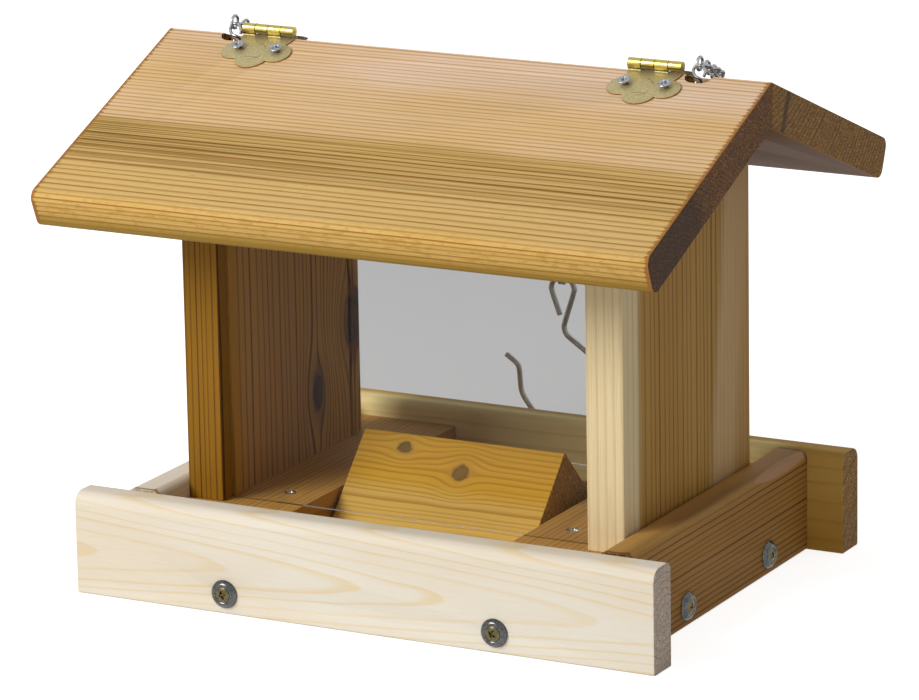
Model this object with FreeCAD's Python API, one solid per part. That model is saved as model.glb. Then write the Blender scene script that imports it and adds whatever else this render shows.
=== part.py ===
import FreeCAD
import Part
import math
import os

# Hopper bird feeder in cedar: a tray, two gable walls with clear panes, a roof whose front
# board is a hinged lid, and a jack chain with a wire hook to hang it by.
# Millimetres. X runs along the ridge, Y to the back, Z up. The origin is under the ridge's
# middle, on the plane that the feeder stands on.

V = FreeCAD.Vector
X_AXIS = V(1, 0, 0)
Y_AXIS = V(0, 1, 0)
Z_AXIS = V(0, 0, 1)

# Tray
TRAY_DEPTH = 254.0
RAIL_HEIGHT = 56.0
RAIL_THICKNESS = 20.0
RAIL_OVERHANG = 21.0
RAIL_OUTER_RADIUS = 7.0
RAIL_INNER_RADIUS = 5.0
RAIL_FOOT_RADIUS = 1.5
BOTTOM_THICKNESS = 22.5
BACK_BOTTOM_WIDTH = 86.0
DRAIN_GAP = 3.0
FLOOR_THICKNESS = 22.5
FLOOR_WIDTH = 64.5

# Hopper
WALL_THICKNESS = 21.3
WALL_DEPTH = 153.0
PANE_THICKNESS = 2.0
PANE_PLAY = 0.4
PANE_END_PLAY = 0.5
PANE_TOP_GAP = 1.0
GROOVE_DEPTH = 6.0
GROOVE_INSET = 10.7
RAMP_LENGTH = 121.0
RAMP_HEIGHT = 49.2
RAMP_SLOPE = 46.0
RAMP_LEFT_GAP = 1.8
RAMP_RIGHT_GAP = 8.2
RAMP_EDGE_RADIUS = 1.5

# Roof
RIDGE_HEIGHT = 283.0
ROOF_SLOPE = 22.2
ROOF_THICKNESS = 22.2
ROOF_OVERHANG = 49.0
EAVE_REACH = 20.9
EAVE_RADIUS = 5.5
LID_GAP = 0.2
SLOT_LENGTH = 15.0
SLOT_WIDTH = 12.0
SLOT_END_RADIUS = 5.4
SLOT_FROM_WALL = 0.5

# Hinges
HINGE_INSETS = (13.0, 17.0)
BARREL_LENGTH = 31.0
BARREL_RADIUS = 2.7
BARREL_SIDES = 12
BARREL_SEAT = 0.85
KNUCKLES = 4
KNUCKLE_GAP = 0.3
PIN_RADIUS = 1.25
PIN_CLEARANCE = 0.05
PIN_PROUD = 0.3
LEAF_THICKNESS = 1.0
LEAF_START = 0.5
TONGUE_LENGTH = 3.0
LOBE_SIDES = 24
SIDE_LOBE_RADIUS = 8.1
SIDE_LOBE_OUT = 12.5
SIDE_LOBE_DOWN = 15.8
END_LOBE_RADIUS = 9.5
END_LOBE_DOWN = 21.3
LEAF_WAIST = 13.6
LEAF_WAIST_DOWN = 8.0
LEAF_SCREW_OUT = 11.7
LEAF_SCREW_DOWN = 14.0

# Fasteners
TURNED_SIDES = 6
CUT_START = 1.0
SCREW_TIP = 0.4
HOLE_CLEARANCE = 0.1
HEAD_SINK = 0.3
RAIL_SCREW_RADIUS = 2.1
RAIL_SCREW_LENGTH = 42.0
RAIL_HEAD_RADIUS = 4.2
RAIL_HEAD_DOME = 0.5
RAIL_HEAD_SINK = 0.4
RAIL_HEAD_SEAT = 0.1
CUP_RADIUS = 7.7
CUP_HEIGHT = 2.8
CUP_CREST_RADIUS = 5.3
CUP_SHEET = 0.7
FRONT_SCREW_OUT = 80.0
SIDE_SCREW_FRONT_Y = -44.5
SIDE_SCREW_BACK_Y = 56.0
WOOD_SCREW_RADIUS = 1.9
WOOD_HEAD_RADIUS = 3.8
WOOD_HEAD_HEIGHT = 2.6
FLOOR_SCREW_LENGTH = 38.0
FLOOR_SCREW_OUT = 19.5
FLOOR_SCREW_Y = 46.0
WALL_SCREW_LENGTH = 76.0
WALL_SCREW_FRONT_Y = -22.0
WALL_SCREW_BACK_Y = 40.0
RAMP_SCREW_LENGTH = 42.0
RAMP_SCREW_OUT = 36.0
RAMP_SCREW_Y = -14.0
ROOF_SCREW_LENGTH = 44.0
ROOF_SCREW_DOWNS = (-37.6, -10.6)
HINGE_SCREW_RADIUS = 1.7
HINGE_SCREW_LENGTH = 17.0
HINGE_HEAD_RADIUS = 3.5
HINGE_HEAD_PROUD = 2.9
HINGE_HEAD_RIM = 0.5
ANCHOR_SCREW_RADIUS = 1.2
ANCHOR_SCREW_DEPTH = 17.0
ANCHOR_HEAD_RADIUS = 2.8
ANCHOR_HEAD_TOP_RADIUS = 1.7
ANCHOR_HEAD_HEIGHT = 2.2
ANCHOR_HEAD_DOME = 1.0

# Jack chain: figure-eight links with the two loops square to each other
LINK_WIRE = 1.7
LOOP_RADIUS = 3.45
TAUT_SLACK = 0.8
LYING_SLACK = 1.1
LOOP_GAP_DEG = 50.0
LOOP_SEGMENTS = 6
WIRE_SIDES = 4
ANCHOR_LINKS = 4
ANCHOR_PLAY = 0.3
ANCHOR_LOOP_PLAY = 0.5
ANCHOR_LEAN_DEG = 32.0
CHAIN_FROM_WALL = 8.2
CHAIN_RISE = 5.9
CHAIN_LIE = 3.8
CHAIN_EAVE_RISE = 4.9
CHAIN_OVER_HINGE = 20.0
CHAIN_PAST_HINGE = 50.0
CHAIN_NEAR_EAVE = 46.0
CHAIN_TURN = 11.0
CHAIN_EAVE_GAP = 0.6
CHAIN_DROP = 101.5
CHAIN_ROLL_DEG = 45.0
CHAIN_ROLL_LINKS = 3

# Wire hook, with places counted from the middle of its eye
HOOK_WIRE = 3.1
HOOK_SIDES = 6
HOOK_SAG = 0.2
HOOK_SHIFT = -19.6
EYE_RADIUS = 6.9
EYE_ROUNDING = 0.94
EYE_LOOP_OUT = 1.1
EYE_LOOP_PLAY = 0.1
CUT_END_X = -1.9
CUT_END_BELOW = 15.1
KINK_X = -0.7
KINK_BELOW = 24.4
KINK_RADIUS = 7.0
BEND_RADIUS = 25.5
BEND_BELOW_EYE = 54.9
BEND_SHIFT = -1.2
BEND_START_DEG = -34.0
BEND_TURN_DEG = 199.0
BEND_CORNERS = 3
LIMB_FOOT_X = -27.1
LIMB_FOOT_BELOW = 62.8
LIMB_FOOT_RADIUS = 14.0
LIMB_TOP_X = -28.4
LIMB_TOP_BELOW = 46.7
LIMB_TOP_RADIUS = 6.0
TIP_X = -36.4
TIP_BELOW = 41.2

# Worked out from the sizes above
RAMP_BAY = RAMP_LENGTH + RAMP_LEFT_GAP + RAMP_RIGHT_GAP
RAMP_SHIFT = (RAMP_LEFT_GAP - RAMP_RIGHT_GAP) / 2
WALL_SPAN = RAMP_BAY + 2 * FLOOR_WIDTH
SLOPE = math.radians(ROOF_SLOPE)
COS = math.cos(SLOPE)
SIN = math.sin(SLOPE)
TAN = math.tan(SLOPE)
HALF_SPAN = WALL_SPAN / 2
HALF_TRAY = TRAY_DEPTH / 2
INNER_TRAY = HALF_TRAY - RAIL_THICKNESS
RAIL_HALF_LENGTH = HALF_SPAN + RAIL_THICKNESS + RAIL_OVERHANG
FLOOR_TOP = BOTTOM_THICKNESS + FLOOR_THICKNESS
WALL_INNER = HALF_SPAN - WALL_THICKNESS
WALL_MIDDLE = HALF_SPAN - WALL_THICKNESS / 2
GROOVE_WIDTH = PANE_THICKNESS + 2 * PANE_PLAY
PANE_Y = WALL_DEPTH / 2 - GROOVE_INSET
ROOF_HALF_LENGTH = HALF_SPAN + ROOF_OVERHANG
EAVE_Y = HALF_TRAY + EAVE_REACH
SLOPE_LENGTH = EAVE_Y / COS
PEAK = RIDGE_HEIGHT - ROOF_THICKNESS / COS
BARREL_UP = BARREL_RADIUS + BARREL_SEAT
BARREL_Z = RIDGE_HEIGHT + BARREL_UP / COS
TWIN = 2 * LOOP_RADIUS
TAUT_PITCH = 2 * TWIN - LINK_WIRE - TAUT_SLACK
LYING_PITCH = 2 * TWIN - LINK_WIRE - LYING_SLACK
CHAIN_X = HALF_SPAN + CHAIN_FROM_WALL
CHAIN_Z = RIDGE_HEIGHT + CHAIN_RISE / COS
LOOP_REACH = LOOP_RADIUS + LINK_WIRE / 2


def underside(y):
    """Height of the roof's underside at a distance from the ridge."""
    return PEAK - abs(y) * TAN


def on_roof(side, x, down, up):
    """Point by its distance down a roof slope and above it; side is -1 front, 1 back."""
    return V(x, side * (down * COS + up * SIN), RIDGE_HEIGHT - down * SIN + up * COS)


def roof_normal(side):
    return V(0, side * SIN, COS)


def save(name, shapes):
    """Write one node: a solid, or a group of separate solids."""
    solids = []
    for shape in shapes:
        solids.extend(shape.Solids)
    node = solids[0]
    if len(solids) > 1:
        node = Part.makeCompound(solids)
    node.exportStep("parts/" + name + ".step")


def rounded_wire(corners, closed):
    """Straight runs joined by tangent arcs; corners are (point, radius)."""
    count = len(corners)
    bends = []
    for index, (point, radius) in enumerate(corners):
        at_end = not closed and index in (0, count - 1)
        if at_end or radius == 0:
            bends.append((point, None, point))
            continue
        before = (corners[index - 1][0] - point).normalize()
        after = (corners[(index + 1) % count][0] - point).normalize()
        half = before.getAngle(after) / 2
        reach = radius / math.tan(half)
        inward = (before + after).normalize()
        middle = point + inward * (radius / math.sin(half) - radius)
        bends.append((point + before * reach, middle, point + after * reach))
    edges = []
    for index, (entry, middle, leave) in enumerate(bends):
        if middle is not None:
            edges.append(Part.Arc(entry, middle, leave).toShape())
        if closed or index < count - 1:
            following = bends[(index + 1) % count][0]
            edges.append(Part.LineSegment(leave, following).toShape())
    return Part.Wire(edges)


def bar_along_x(profile, x_from, x_to):
    """Bar along X with a profile of (y, z, corner radius)."""
    corners = [(V(x_from, y, z), radius) for y, z, radius in profile]
    face = Part.Face(rounded_wire(corners, True))
    return face.extrude(V(x_to - x_from, 0, 0))


def bar_along_y(profile, y_from, y_to):
    """Bar along Y with a profile of (x, z, corner radius)."""
    corners = [(V(x, y_from, z), radius) for x, z, radius in profile]
    face = Part.Face(rounded_wire(corners, True))
    return face.extrude(V(0, y_to - y_from, 0))


def block(x_from, x_to, y_from, y_to, z_from, z_to):
    return Part.makeBox(x_to - x_from, y_to - y_from, z_to - z_from, V(x_from, y_from, z_from))


def polygon_face(points):
    return Part.Face(Part.makePolygon(points + [points[0]]))


def banded_solid(rings, closed):
    """Solid with flat sides from ring to ring; closed joins the last ring to the first."""
    faces = []
    pairs = list(zip(rings, rings[1:]))
    if closed:
        pairs.append((rings[-1], rings[0]))
    else:
        faces.append(polygon_face(rings[0]))
        faces.append(polygon_face(rings[-1]))
    for lower, upper in pairs:
        for index in range(len(lower)):
            after = (index + 1) % len(lower)
            faces.append(polygon_face([lower[index], lower[after], upper[after], upper[index]]))
    solid = Part.Solid(Part.Shell(faces))
    if solid.Volume < 0:
        solid.reverse()
    return solid


def round_flats(radius, sides):
    """Corner radius of flat sides that touch a circle from outside."""
    return radius / math.cos(math.pi / sides)


def turned(profile, base, outward, closed=False, sides=TURNED_SIDES):
    """Small turned piece or its hole; profile is (radius, height along outward from base)."""
    turns = [2 * math.pi * (index + 0.5) / sides for index in range(sides)]
    rings = [[V(radius * math.cos(turn), radius * math.sin(turn), height) for turn in turns]
             for radius, height in profile]
    solid = banded_solid(rings, closed)
    solid.Placement = FreeCAD.Placement(base, FreeCAD.Rotation(Z_AXIS, outward))
    return solid


def bored(wood, screws):
    """Piece with the holes that its screws run in; screws are (base, outward, radius, length)."""
    for base, outward, radius, length in screws:
        wide = radius + HOLE_CLEARANCE
        wood = wood.cut(turned([(wide, CUT_START), (wide, -length)], base, outward))
    return wood


def countersunk(wood, screws):
    """Piece with holes for flat-head screws sunk a little below its face."""
    for base, outward, length in screws:
        wood = wood.cut(turned(sink_profile(length), base, outward))
    return wood


def flat_screw_profile(length):
    return [(WOOD_HEAD_RADIUS, -HEAD_SINK), (WOOD_SCREW_RADIUS, -HEAD_SINK - WOOD_HEAD_HEIGHT),
            (WOOD_SCREW_RADIUS, 2 * WOOD_SCREW_RADIUS - length), (SCREW_TIP, -length)]


def sink_profile(length):
    wide = WOOD_HEAD_RADIUS + HOLE_CLEARANCE
    slim = WOOD_SCREW_RADIUS + HOLE_CLEARANCE
    return [(wide, CUT_START), (wide, -HEAD_SINK), (slim, -HEAD_SINK - WOOD_HEAD_HEIGHT), (slim, -length)]


# Where the screws go: each list holds (base on the face, outward direction)
def rail_screw_places():
    height = BOTTOM_THICKNESS / 2
    side_x = HALF_SPAN + RAIL_THICKNESS
    places = {"front": [], "back": [], "left": [], "right": []}
    for out in (-FRONT_SCREW_OUT, FRONT_SCREW_OUT):
        places["front"].append((V(out, -HALF_TRAY, height), Y_AXIS * -1))
        places["back"].append((V(out, HALF_TRAY, height), Y_AXIS))
    for y in (SIDE_SCREW_FRONT_Y, SIDE_SCREW_BACK_Y):
        places["left"].append((V(-side_x, y, height), X_AXIS * -1))
        places["right"].append((V(side_x, y, height), X_AXIS))
    return places


def rail_holes(side):
    return [(base, outward, RAIL_SCREW_RADIUS, RAIL_SCREW_LENGTH)
            for base, outward in rail_screw_places()[side]]


def floor_screws(side):
    """Screws down through a floor board, counted out from the bay."""
    return [(V(side * (RAMP_BAY / 2 + FLOOR_SCREW_OUT), y, FLOOR_TOP), Z_AXIS, FLOOR_SCREW_LENGTH)
            for y in (-FLOOR_SCREW_Y, FLOOR_SCREW_Y)]


def wall_screws(side):
    return [(V(side * WALL_MIDDLE, y, 0), Z_AXIS * -1, WALL_SCREW_LENGTH)
            for y in (WALL_SCREW_FRONT_Y, WALL_SCREW_BACK_Y)]


def ramp_screws():
    return [(V(RAMP_SHIFT + out, RAMP_SCREW_Y, 0), Z_AXIS * -1, RAMP_SCREW_LENGTH)
            for out in (-RAMP_SCREW_OUT, RAMP_SCREW_OUT)]


def roof_screws(side):
    """Screws into a wall's top, counted down the slope from the wall's back end."""
    wall_end = WALL_DEPTH / 2 / COS
    return [(on_roof(1, side * WALL_MIDDLE, wall_end + down, 0), roof_normal(1), ROOF_SCREW_LENGTH)
            for down in ROOF_SCREW_DOWNS]


def hinge_middles():
    left_inset, right_inset = HINGE_INSETS
    return {"left": left_inset - HALF_SPAN, "right": HALF_SPAN - right_inset}


def hinge_screws(side):
    places = []
    for middle in hinge_middles().values():
        for out in (-LEAF_SCREW_OUT, LEAF_SCREW_OUT):
            base = on_roof(side, middle + out, LEAF_SCREW_DOWN, LEAF_THICKNESS)
            places.append((base, roof_normal(side), HINGE_SCREW_RADIUS, HINGE_SCREW_LENGTH))
    return places


# Tray boards
def long_rail(side):
    """Front or back rail; its outer top edge has the larger round."""
    outer = side * HALF_TRAY
    inner = side * INNER_TRAY
    profile = [(outer, 0, RAIL_FOOT_RADIUS), (outer, RAIL_HEIGHT, RAIL_OUTER_RADIUS),
               (inner, RAIL_HEIGHT, RAIL_INNER_RADIUS), (inner, 0, 0)]
    rail = bar_along_x(profile, -RAIL_HALF_LENGTH, RAIL_HALF_LENGTH)
    return bored(rail, rail_holes("front" if side < 0 else "back"))


def side_rail(side):
    outer = side * (HALF_SPAN + RAIL_THICKNESS)
    inner = side * HALF_SPAN
    profile = [(outer, 0, RAIL_FOOT_RADIUS), (outer, RAIL_HEIGHT, RAIL_INNER_RADIUS),
               (inner, RAIL_HEIGHT, RAIL_INNER_RADIUS), (inner, 0, 0)]
    rail = bar_along_y(profile, -INNER_TRAY, INNER_TRAY)
    return bored(rail, rail_holes("left" if side < 0 else "right"))


def bottom_board(y_from, y_to):
    board = block(-HALF_SPAN, HALF_SPAN, y_from, y_to, 0, BOTTOM_THICKNESS)
    for side in ("front", "back", "left", "right"):
        board = bored(board, rail_holes(side))
    for side in (-1, 1):
        board = countersunk(board, floor_screws(side) + wall_screws(side))
    return countersunk(board, ramp_screws())


def floor_board(side):
    inner = side * (HALF_SPAN - FLOOR_WIDTH)
    outer = side * HALF_SPAN
    board = block(min(inner, outer), max(inner, outer), -INNER_TRAY, INNER_TRAY,
                  BOTTOM_THICKNESS, FLOOR_TOP)
    return countersunk(board, floor_screws(side) + wall_screws(side))


# Hopper pieces
def groove(side, y):
    """Saw kerf for a pane, in a wall's inner face, open at the wall's top."""
    bottom = side * (WALL_INNER + GROOVE_DEPTH)
    mouth = side * WALL_INNER
    return block(min(bottom, mouth), max(bottom, mouth), y - GROOVE_WIDTH / 2,
                 y + GROOVE_WIDTH / 2, FLOOR_TOP, RIDGE_HEIGHT)


def wall(side):
    half = WALL_DEPTH / 2
    profile = [(-half, FLOOR_TOP, 0), (half, FLOOR_TOP, 0), (half, underside(half), 0),
               (0, PEAK, 0), (-half, underside(half), 0)]
    inner = side * WALL_INNER
    outer = side * HALF_SPAN
    board = bar_along_x(profile, min(inner, outer), max(inner, outer))
    for y in (-PANE_Y, PANE_Y):
        board = board.cut(groove(side, y))
    board = countersunk(board, wall_screws(side) + roof_screws(side))
    base, outward = anchor_screw_place(side)
    return bored(board, [(base, outward, ANCHOR_SCREW_RADIUS, ANCHOR_SCREW_DEPTH)])


def pane(y):
    half_length = WALL_INNER + GROOVE_DEPTH - PANE_END_PLAY
    half_sheet = PANE_THICKNESS / 2
    top = underside(abs(y) + half_sheet) - PANE_TOP_GAP
    return block(-half_length, half_length, y - half_sheet, y + half_sheet, FLOOR_TOP, top)


def ramp():
    """Solid wedge that throws the seed to both sides."""
    foot = RAMP_HEIGHT / math.tan(math.radians(RAMP_SLOPE))
    profile = [(-foot, BOTTOM_THICKNESS, 0), (foot, BOTTOM_THICKNESS, 0),
               (0, BOTTOM_THICKNESS + RAMP_HEIGHT, RAMP_EDGE_RADIUS)]
    wedge = bar_along_x(profile, RAMP_SHIFT - RAMP_LENGTH / 2, RAMP_SHIFT + RAMP_LENGTH / 2)
    return countersunk(wedge, ramp_screws())


# Roof boards
def chain_slot(side):
    """Slot on the ridge line that a chain comes up through."""
    start = HALF_SPAN + SLOT_FROM_WALL
    half = SLOT_WIDTH / 2
    low = min(side * start, side * (start + SLOT_LENGTH))
    high = low + SLOT_LENGTH
    depth = 2 * ROOF_THICKNESS
    corners = [V(low, -half, 0), V(high, -half, 0), V(high, half, 0), V(low, half, 0)]
    outline = rounded_wire([(point, SLOT_END_RADIUS) for point in corners], True)
    slot = Part.Face(outline).extrude(V(0, 0, depth))
    slot.translate(V(0, 0, RIDGE_HEIGHT - depth + CUT_START))
    return slot


def roof_board(side, ridge_gap):
    """One slope: mitred upright at the ridge, square and rounded at the eave."""
    eave_top = on_roof(side, 0, SLOPE_LENGTH, 0)
    eave_foot = on_roof(side, 0, SLOPE_LENGTH, -ROOF_THICKNESS)
    edge = side * ridge_gap
    profile = [(edge, RIDGE_HEIGHT - ridge_gap * TAN, 0), (eave_top.y, eave_top.z, EAVE_RADIUS),
               (eave_foot.y, eave_foot.z, EAVE_RADIUS), (edge, PEAK - ridge_gap * TAN, 0)]
    board = bar_along_x(profile, -ROOF_HALF_LENGTH, ROOF_HALF_LENGTH)
    for end in (-1, 1):
        board = board.cut(chain_slot(end))
    return bored(board, hinge_screws(side))


def fixed_roof_board():
    board = roof_board(1, 0)
    for side in (-1, 1):
        board = countersunk(board, roof_screws(side))
    return board


# Hinges
def leaf_plate():
    """Three-lobed plate in its own plane: X along the barrel, Y down the slope, Z out."""
    half = BARREL_LENGTH / 2
    outline = [V(-half, LEAF_START, 0), V(half, LEAF_START, 0), V(half, TONGUE_LENGTH, 0),
               V(LEAF_WAIST, LEAF_WAIST_DOWN, 0), V(SIDE_LOBE_OUT, SIDE_LOBE_DOWN, 0),
               V(0, END_LOBE_DOWN + END_LOBE_RADIUS / 2, 0), V(-SIDE_LOBE_OUT, SIDE_LOBE_DOWN, 0),
               V(-LEAF_WAIST, LEAF_WAIST_DOWN, 0), V(-half, TONGUE_LENGTH, 0)]
    plate = polygon_face(outline).extrude(V(0, 0, LEAF_THICKNESS))
    lobes = [(-SIDE_LOBE_OUT, SIDE_LOBE_DOWN, SIDE_LOBE_RADIUS),
             (SIDE_LOBE_OUT, SIDE_LOBE_DOWN, SIDE_LOBE_RADIUS),
             (0, END_LOBE_DOWN, END_LOBE_RADIUS)]
    for out, down, radius in lobes:
        profile = [(radius, 0), (radius, LEAF_THICKNESS)]
        plate = plate.fuse(turned(profile, V(out, down, 0), Z_AXIS, sides=LOBE_SIDES))
    for out in (-LEAF_SCREW_OUT, LEAF_SCREW_OUT):
        place = V(out, LEAF_SCREW_DOWN, LEAF_THICKNESS)
        plate = bored(plate, [(place, Z_AXIS, HINGE_SCREW_RADIUS, HINGE_SCREW_LENGTH)])
    return plate


def knuckle(start, length):
    """Rolled knuckle with the upright web that joins its front to the plate."""
    barrel_down = -BARREL_UP * TAN
    centre = V(start, barrel_down, BARREL_UP)
    corner_radius = round_flats(BARREL_RADIUS, BARREL_SIDES)
    roll = turned([(corner_radius, 0), (corner_radius, length)], centre, X_AXIS, sides=BARREL_SIDES)
    front = barrel_down + BARREL_RADIUS
    web = block(start, start + length, LEAF_START, front, 0, BARREL_UP)
    bore_radius = round_flats(PIN_RADIUS + PIN_CLEARANCE, BARREL_SIDES)
    bore = turned([(bore_radius, 0), (bore_radius, length)], centre, X_AXIS, sides=BARREL_SIDES)
    return roll.fuse(web).cut(bore)


def hinge_leaf(side, middle):
    """One leaf; both leaves are alike, turned half round so that the knuckles interleave."""
    length = (BARREL_LENGTH - (KNUCKLES - 1) * KNUCKLE_GAP) / KNUCKLES
    leaf = leaf_plate()
    for index in range(1, KNUCKLES, 2):
        start = index * (length + KNUCKLE_GAP) - BARREL_LENGTH / 2
        leaf = leaf.fuse(knuckle(start, length))
    leaf = leaf.removeSplitter()
    leaf.rotate(V(0, 0, 0), X_AXIS, -ROOF_SLOPE)
    if side < 0:
        leaf.rotate(V(0, 0, 0), Z_AXIS, 180)
    leaf.translate(V(middle, 0, RIDGE_HEIGHT))
    return leaf


def hinge_pin(middle):
    length = BARREL_LENGTH + 2 * PIN_PROUD
    profile = [(PIN_RADIUS, 0), (PIN_RADIUS, length)]
    return turned(profile, V(middle - length / 2, 0, BARREL_Z), X_AXIS, sides=BARREL_SIDES)


# Screws and washers
def rail_screw(base, outward):
    """Oval-head screw whose cone seats in its cup washer."""
    profile = [(RAIL_HEAD_RADIUS / 2, CUP_HEIGHT + RAIL_HEAD_DOME),
               (RAIL_HEAD_RADIUS, CUP_HEIGHT - RAIL_HEAD_SINK),
               (RAIL_SCREW_RADIUS, CUP_SHEET + RAIL_HEAD_SEAT),
               (RAIL_SCREW_RADIUS, 2 * RAIL_SCREW_RADIUS - RAIL_SCREW_LENGTH),
               (SCREW_TIP, -RAIL_SCREW_LENGTH)]
    return turned(profile, base, outward)


def cup_washer(base, outward):
    """Dished finishing washer, open underneath."""
    hole = RAIL_SCREW_RADIUS + HOLE_CLEARANCE
    profile = [(hole, 0), (hole, CUP_SHEET), (CUP_CREST_RADIUS, CUP_HEIGHT), (CUP_RADIUS, CUP_SHEET),
               (CUP_RADIUS, 0), (CUP_CREST_RADIUS, CUP_HEIGHT - CUP_SHEET)]
    return turned(profile, base, outward, True)


def hinge_screw(base, outward):
    """Flat-head screw that stands proud of its leaf."""
    profile = [(HINGE_HEAD_RADIUS, HINGE_HEAD_PROUD),
               (HINGE_HEAD_RADIUS, HINGE_HEAD_PROUD - HINGE_HEAD_RIM),
               (HINGE_SCREW_RADIUS, 0),
               (HINGE_SCREW_RADIUS, 2 * HINGE_SCREW_RADIUS - HINGE_SCREW_LENGTH),
               (SCREW_TIP, -HINGE_SCREW_LENGTH)]
    return turned(profile, base, outward)


def anchor_screw(side):
    """Pan-head screw that holds a chain's first loop against the wall."""
    base, outward = anchor_screw_place(side)
    under_head = LINK_WIRE + 2 * ANCHOR_PLAY
    top = under_head + ANCHOR_HEAD_HEIGHT
    profile = [(ANCHOR_HEAD_TOP_RADIUS, top), (ANCHOR_HEAD_RADIUS, top - ANCHOR_HEAD_DOME),
               (ANCHOR_HEAD_RADIUS, under_head),
               (ANCHOR_SCREW_RADIUS, under_head),
               (ANCHOR_SCREW_RADIUS, 2 * ANCHOR_SCREW_RADIUS - ANCHOR_SCREW_DEPTH),
               (SCREW_TIP, -ANCHOR_SCREW_DEPTH)]
    return turned(profile, base, outward)


# Chain
def wire_tube(points, radius, sides):
    """Wire along a bent line, mitred at each point, with flat sides."""
    first = (points[1] - points[0]).normalize()
    across = first.cross(Z_AXIS if abs(first.z) < 0.8 else X_AXIS).normalize()
    other = first.cross(across)
    ring = []
    for index in range(sides):
        angle = 2 * math.pi * index / sides
        ring.append(points[0] + across * (radius * math.cos(angle)) + other * (radius * math.sin(angle)))
    rings = [ring]
    for index in range(1, len(points)):
        along = (points[index] - points[index - 1]).normalize()
        plane = along
        if index < len(points) - 1:
            plane = (along + (points[index + 1] - points[index]).normalize()).normalize()
        ring = [corner + along * ((points[index] - corner).dot(plane) / along.dot(plane))
                for corner in ring]
        rings.append(ring)
    return banded_solid(rings, False)


def loop_point(centre, normal, toward, angle_deg):
    """Point on a loop, counted from the side that faces its twin loop."""
    reach = toward - centre
    start = (reach - normal * reach.dot(normal)).normalize()
    turn = normal.cross(start)
    angle = math.radians(angle_deg)
    return centre + (start * math.cos(angle) + turn * math.sin(angle)) * LOOP_RADIUS


def chain_link(first, first_normal, second, second_normal):
    """Figure-eight link of one wire: round the first loop, over, and round the second."""
    turn = 360.0 - LOOP_GAP_DEG
    steps = [turn * index / LOOP_SEGMENTS for index in range(1, LOOP_SEGMENTS + 1)]
    waist = (loop_point(first, first_normal, second, 0) + loop_point(second, second_normal, first, 0)) / 2
    points = [loop_point(first, first_normal, second, angle) for angle in reversed(steps)]
    points.append(waist)
    points.extend(loop_point(second, second_normal, first, angle) for angle in steps)
    return wire_tube(points, LINK_WIRE / 2, WIRE_SIDES)


def turned_about(vector, axis, angle_deg):
    return FreeCAD.Rotation(axis, angle_deg).multVec(vector)


def path_point(route, distance):
    """Point and direction at a distance along a route of straight runs."""
    for start, end in zip(route, route[1:]):
        run = end - start
        if distance <= run.Length + 1e-6 or end is route[-1]:
            along = run.normalize()
            return start + along * distance, along
        distance -= run.Length


def path_length(route):
    return sum((end - start).Length for start, end in zip(route, route[1:]))


def chain_links(route, count, pitch, flat, rolls, last_normal=None):
    """Links along a route: each has a loop that stands across it, then a loop that lies flat."""
    links = []
    for index in range(count):
        first, along = path_point(route, index * pitch)
        second = path_point(route, index * pitch + TWIN)[0]
        lying = turned_about(flat, along, rolls[index])
        standing = along.cross(lying) if index else X_AXIS
        if last_normal is not None and index == count - 1:
            lying = last_normal
        links.append(chain_link(first, standing, second, lying))
    return links


def chain_top(side):
    """Middle of the loop that stands on the ridge, which the chain swings about."""
    return V(side * CHAIN_X, 0, CHAIN_Z)


def anchor_route(side):
    """From the loop on the wall, leaning out, then up through the slot to the ridge."""
    lean = math.radians(ANCHOR_LEAN_DEG)
    top = chain_top(side)
    start_x = side * (HALF_SPAN + LINK_WIRE / 2 + ANCHOR_PLAY)
    bend_x = start_x + side * TWIN * math.sin(lean)
    rest = ANCHOR_LINKS * TAUT_PITCH - TWIN
    bend_z = CHAIN_Z - math.sqrt(rest ** 2 - (top.x - bend_x) ** 2)
    start_z = bend_z - TWIN * math.cos(lean)
    return [V(start_x, 0, start_z), V(bend_x, 0, bend_z), top]


def anchor_screw_place(side):
    """Screw at the bottom of the first loop, which the chain pulls up against."""
    start = anchor_route(side)[0]
    below = LOOP_RADIUS - LINK_WIRE / 2 - ANCHOR_SCREW_RADIUS - ANCHOR_LOOP_PLAY
    return V(side * HALF_SPAN, 0, start.z - below), X_AXIS * side


def anchor_links(side):
    """Links that stay in the slot, from the wall screw to just under the ridge loop."""
    return chain_links(anchor_route(side), ANCHOR_LINKS, TAUT_PITCH, Y_AXIS, [0] * ANCHOR_LINKS)


def eave_loop_place():
    """Y, Z and distance down the slope of the loops that bend over the back eave."""
    corner = on_roof(1, 0, SLOPE_LENGTH - EAVE_RADIUS, -EAVE_RADIUS)
    y = corner.y + EAVE_RADIUS + LOOP_REACH + CHAIN_EAVE_GAP
    down = (y - CHAIN_EAVE_RISE * SIN) / COS
    return y, on_roof(1, 0, down, CHAIN_EAVE_RISE).z, down


def eye_middle():
    """Middle of the hook's eye."""
    y, z, down = eave_loop_place()
    return V(HOOK_SHIFT, y, z - CHAIN_DROP - EYE_RADIUS)


def hook_pivot():
    return eye_middle() + Z_AXIS * EYE_RADIUS


def end_loop(side):
    """Middle of a chain's last loop, hung on the eye's top."""
    return hook_pivot() + V(side * EYE_LOOP_OUT, 0, EYE_LOOP_PLAY)


def drop_steps(side):
    """Whole pitches in a hanging leg, near a straight line from the ridge when unfolded."""
    y, z, down = eave_loop_place()
    top = chain_top(side)
    bottom = end_loop(side)
    fall = z - bottom.z
    on_slope = down + CHAIN_RISE * TAN - CHAIN_TURN / 2
    sideways = (top.x - bottom.x) * fall / (on_slope + fall)
    wanted = (math.hypot(sideways, fall) - TWIN) / TAUT_PITCH
    least = (fall - TWIN) / TAUT_PITCH
    return max(round(wanted), math.ceil(least))


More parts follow.
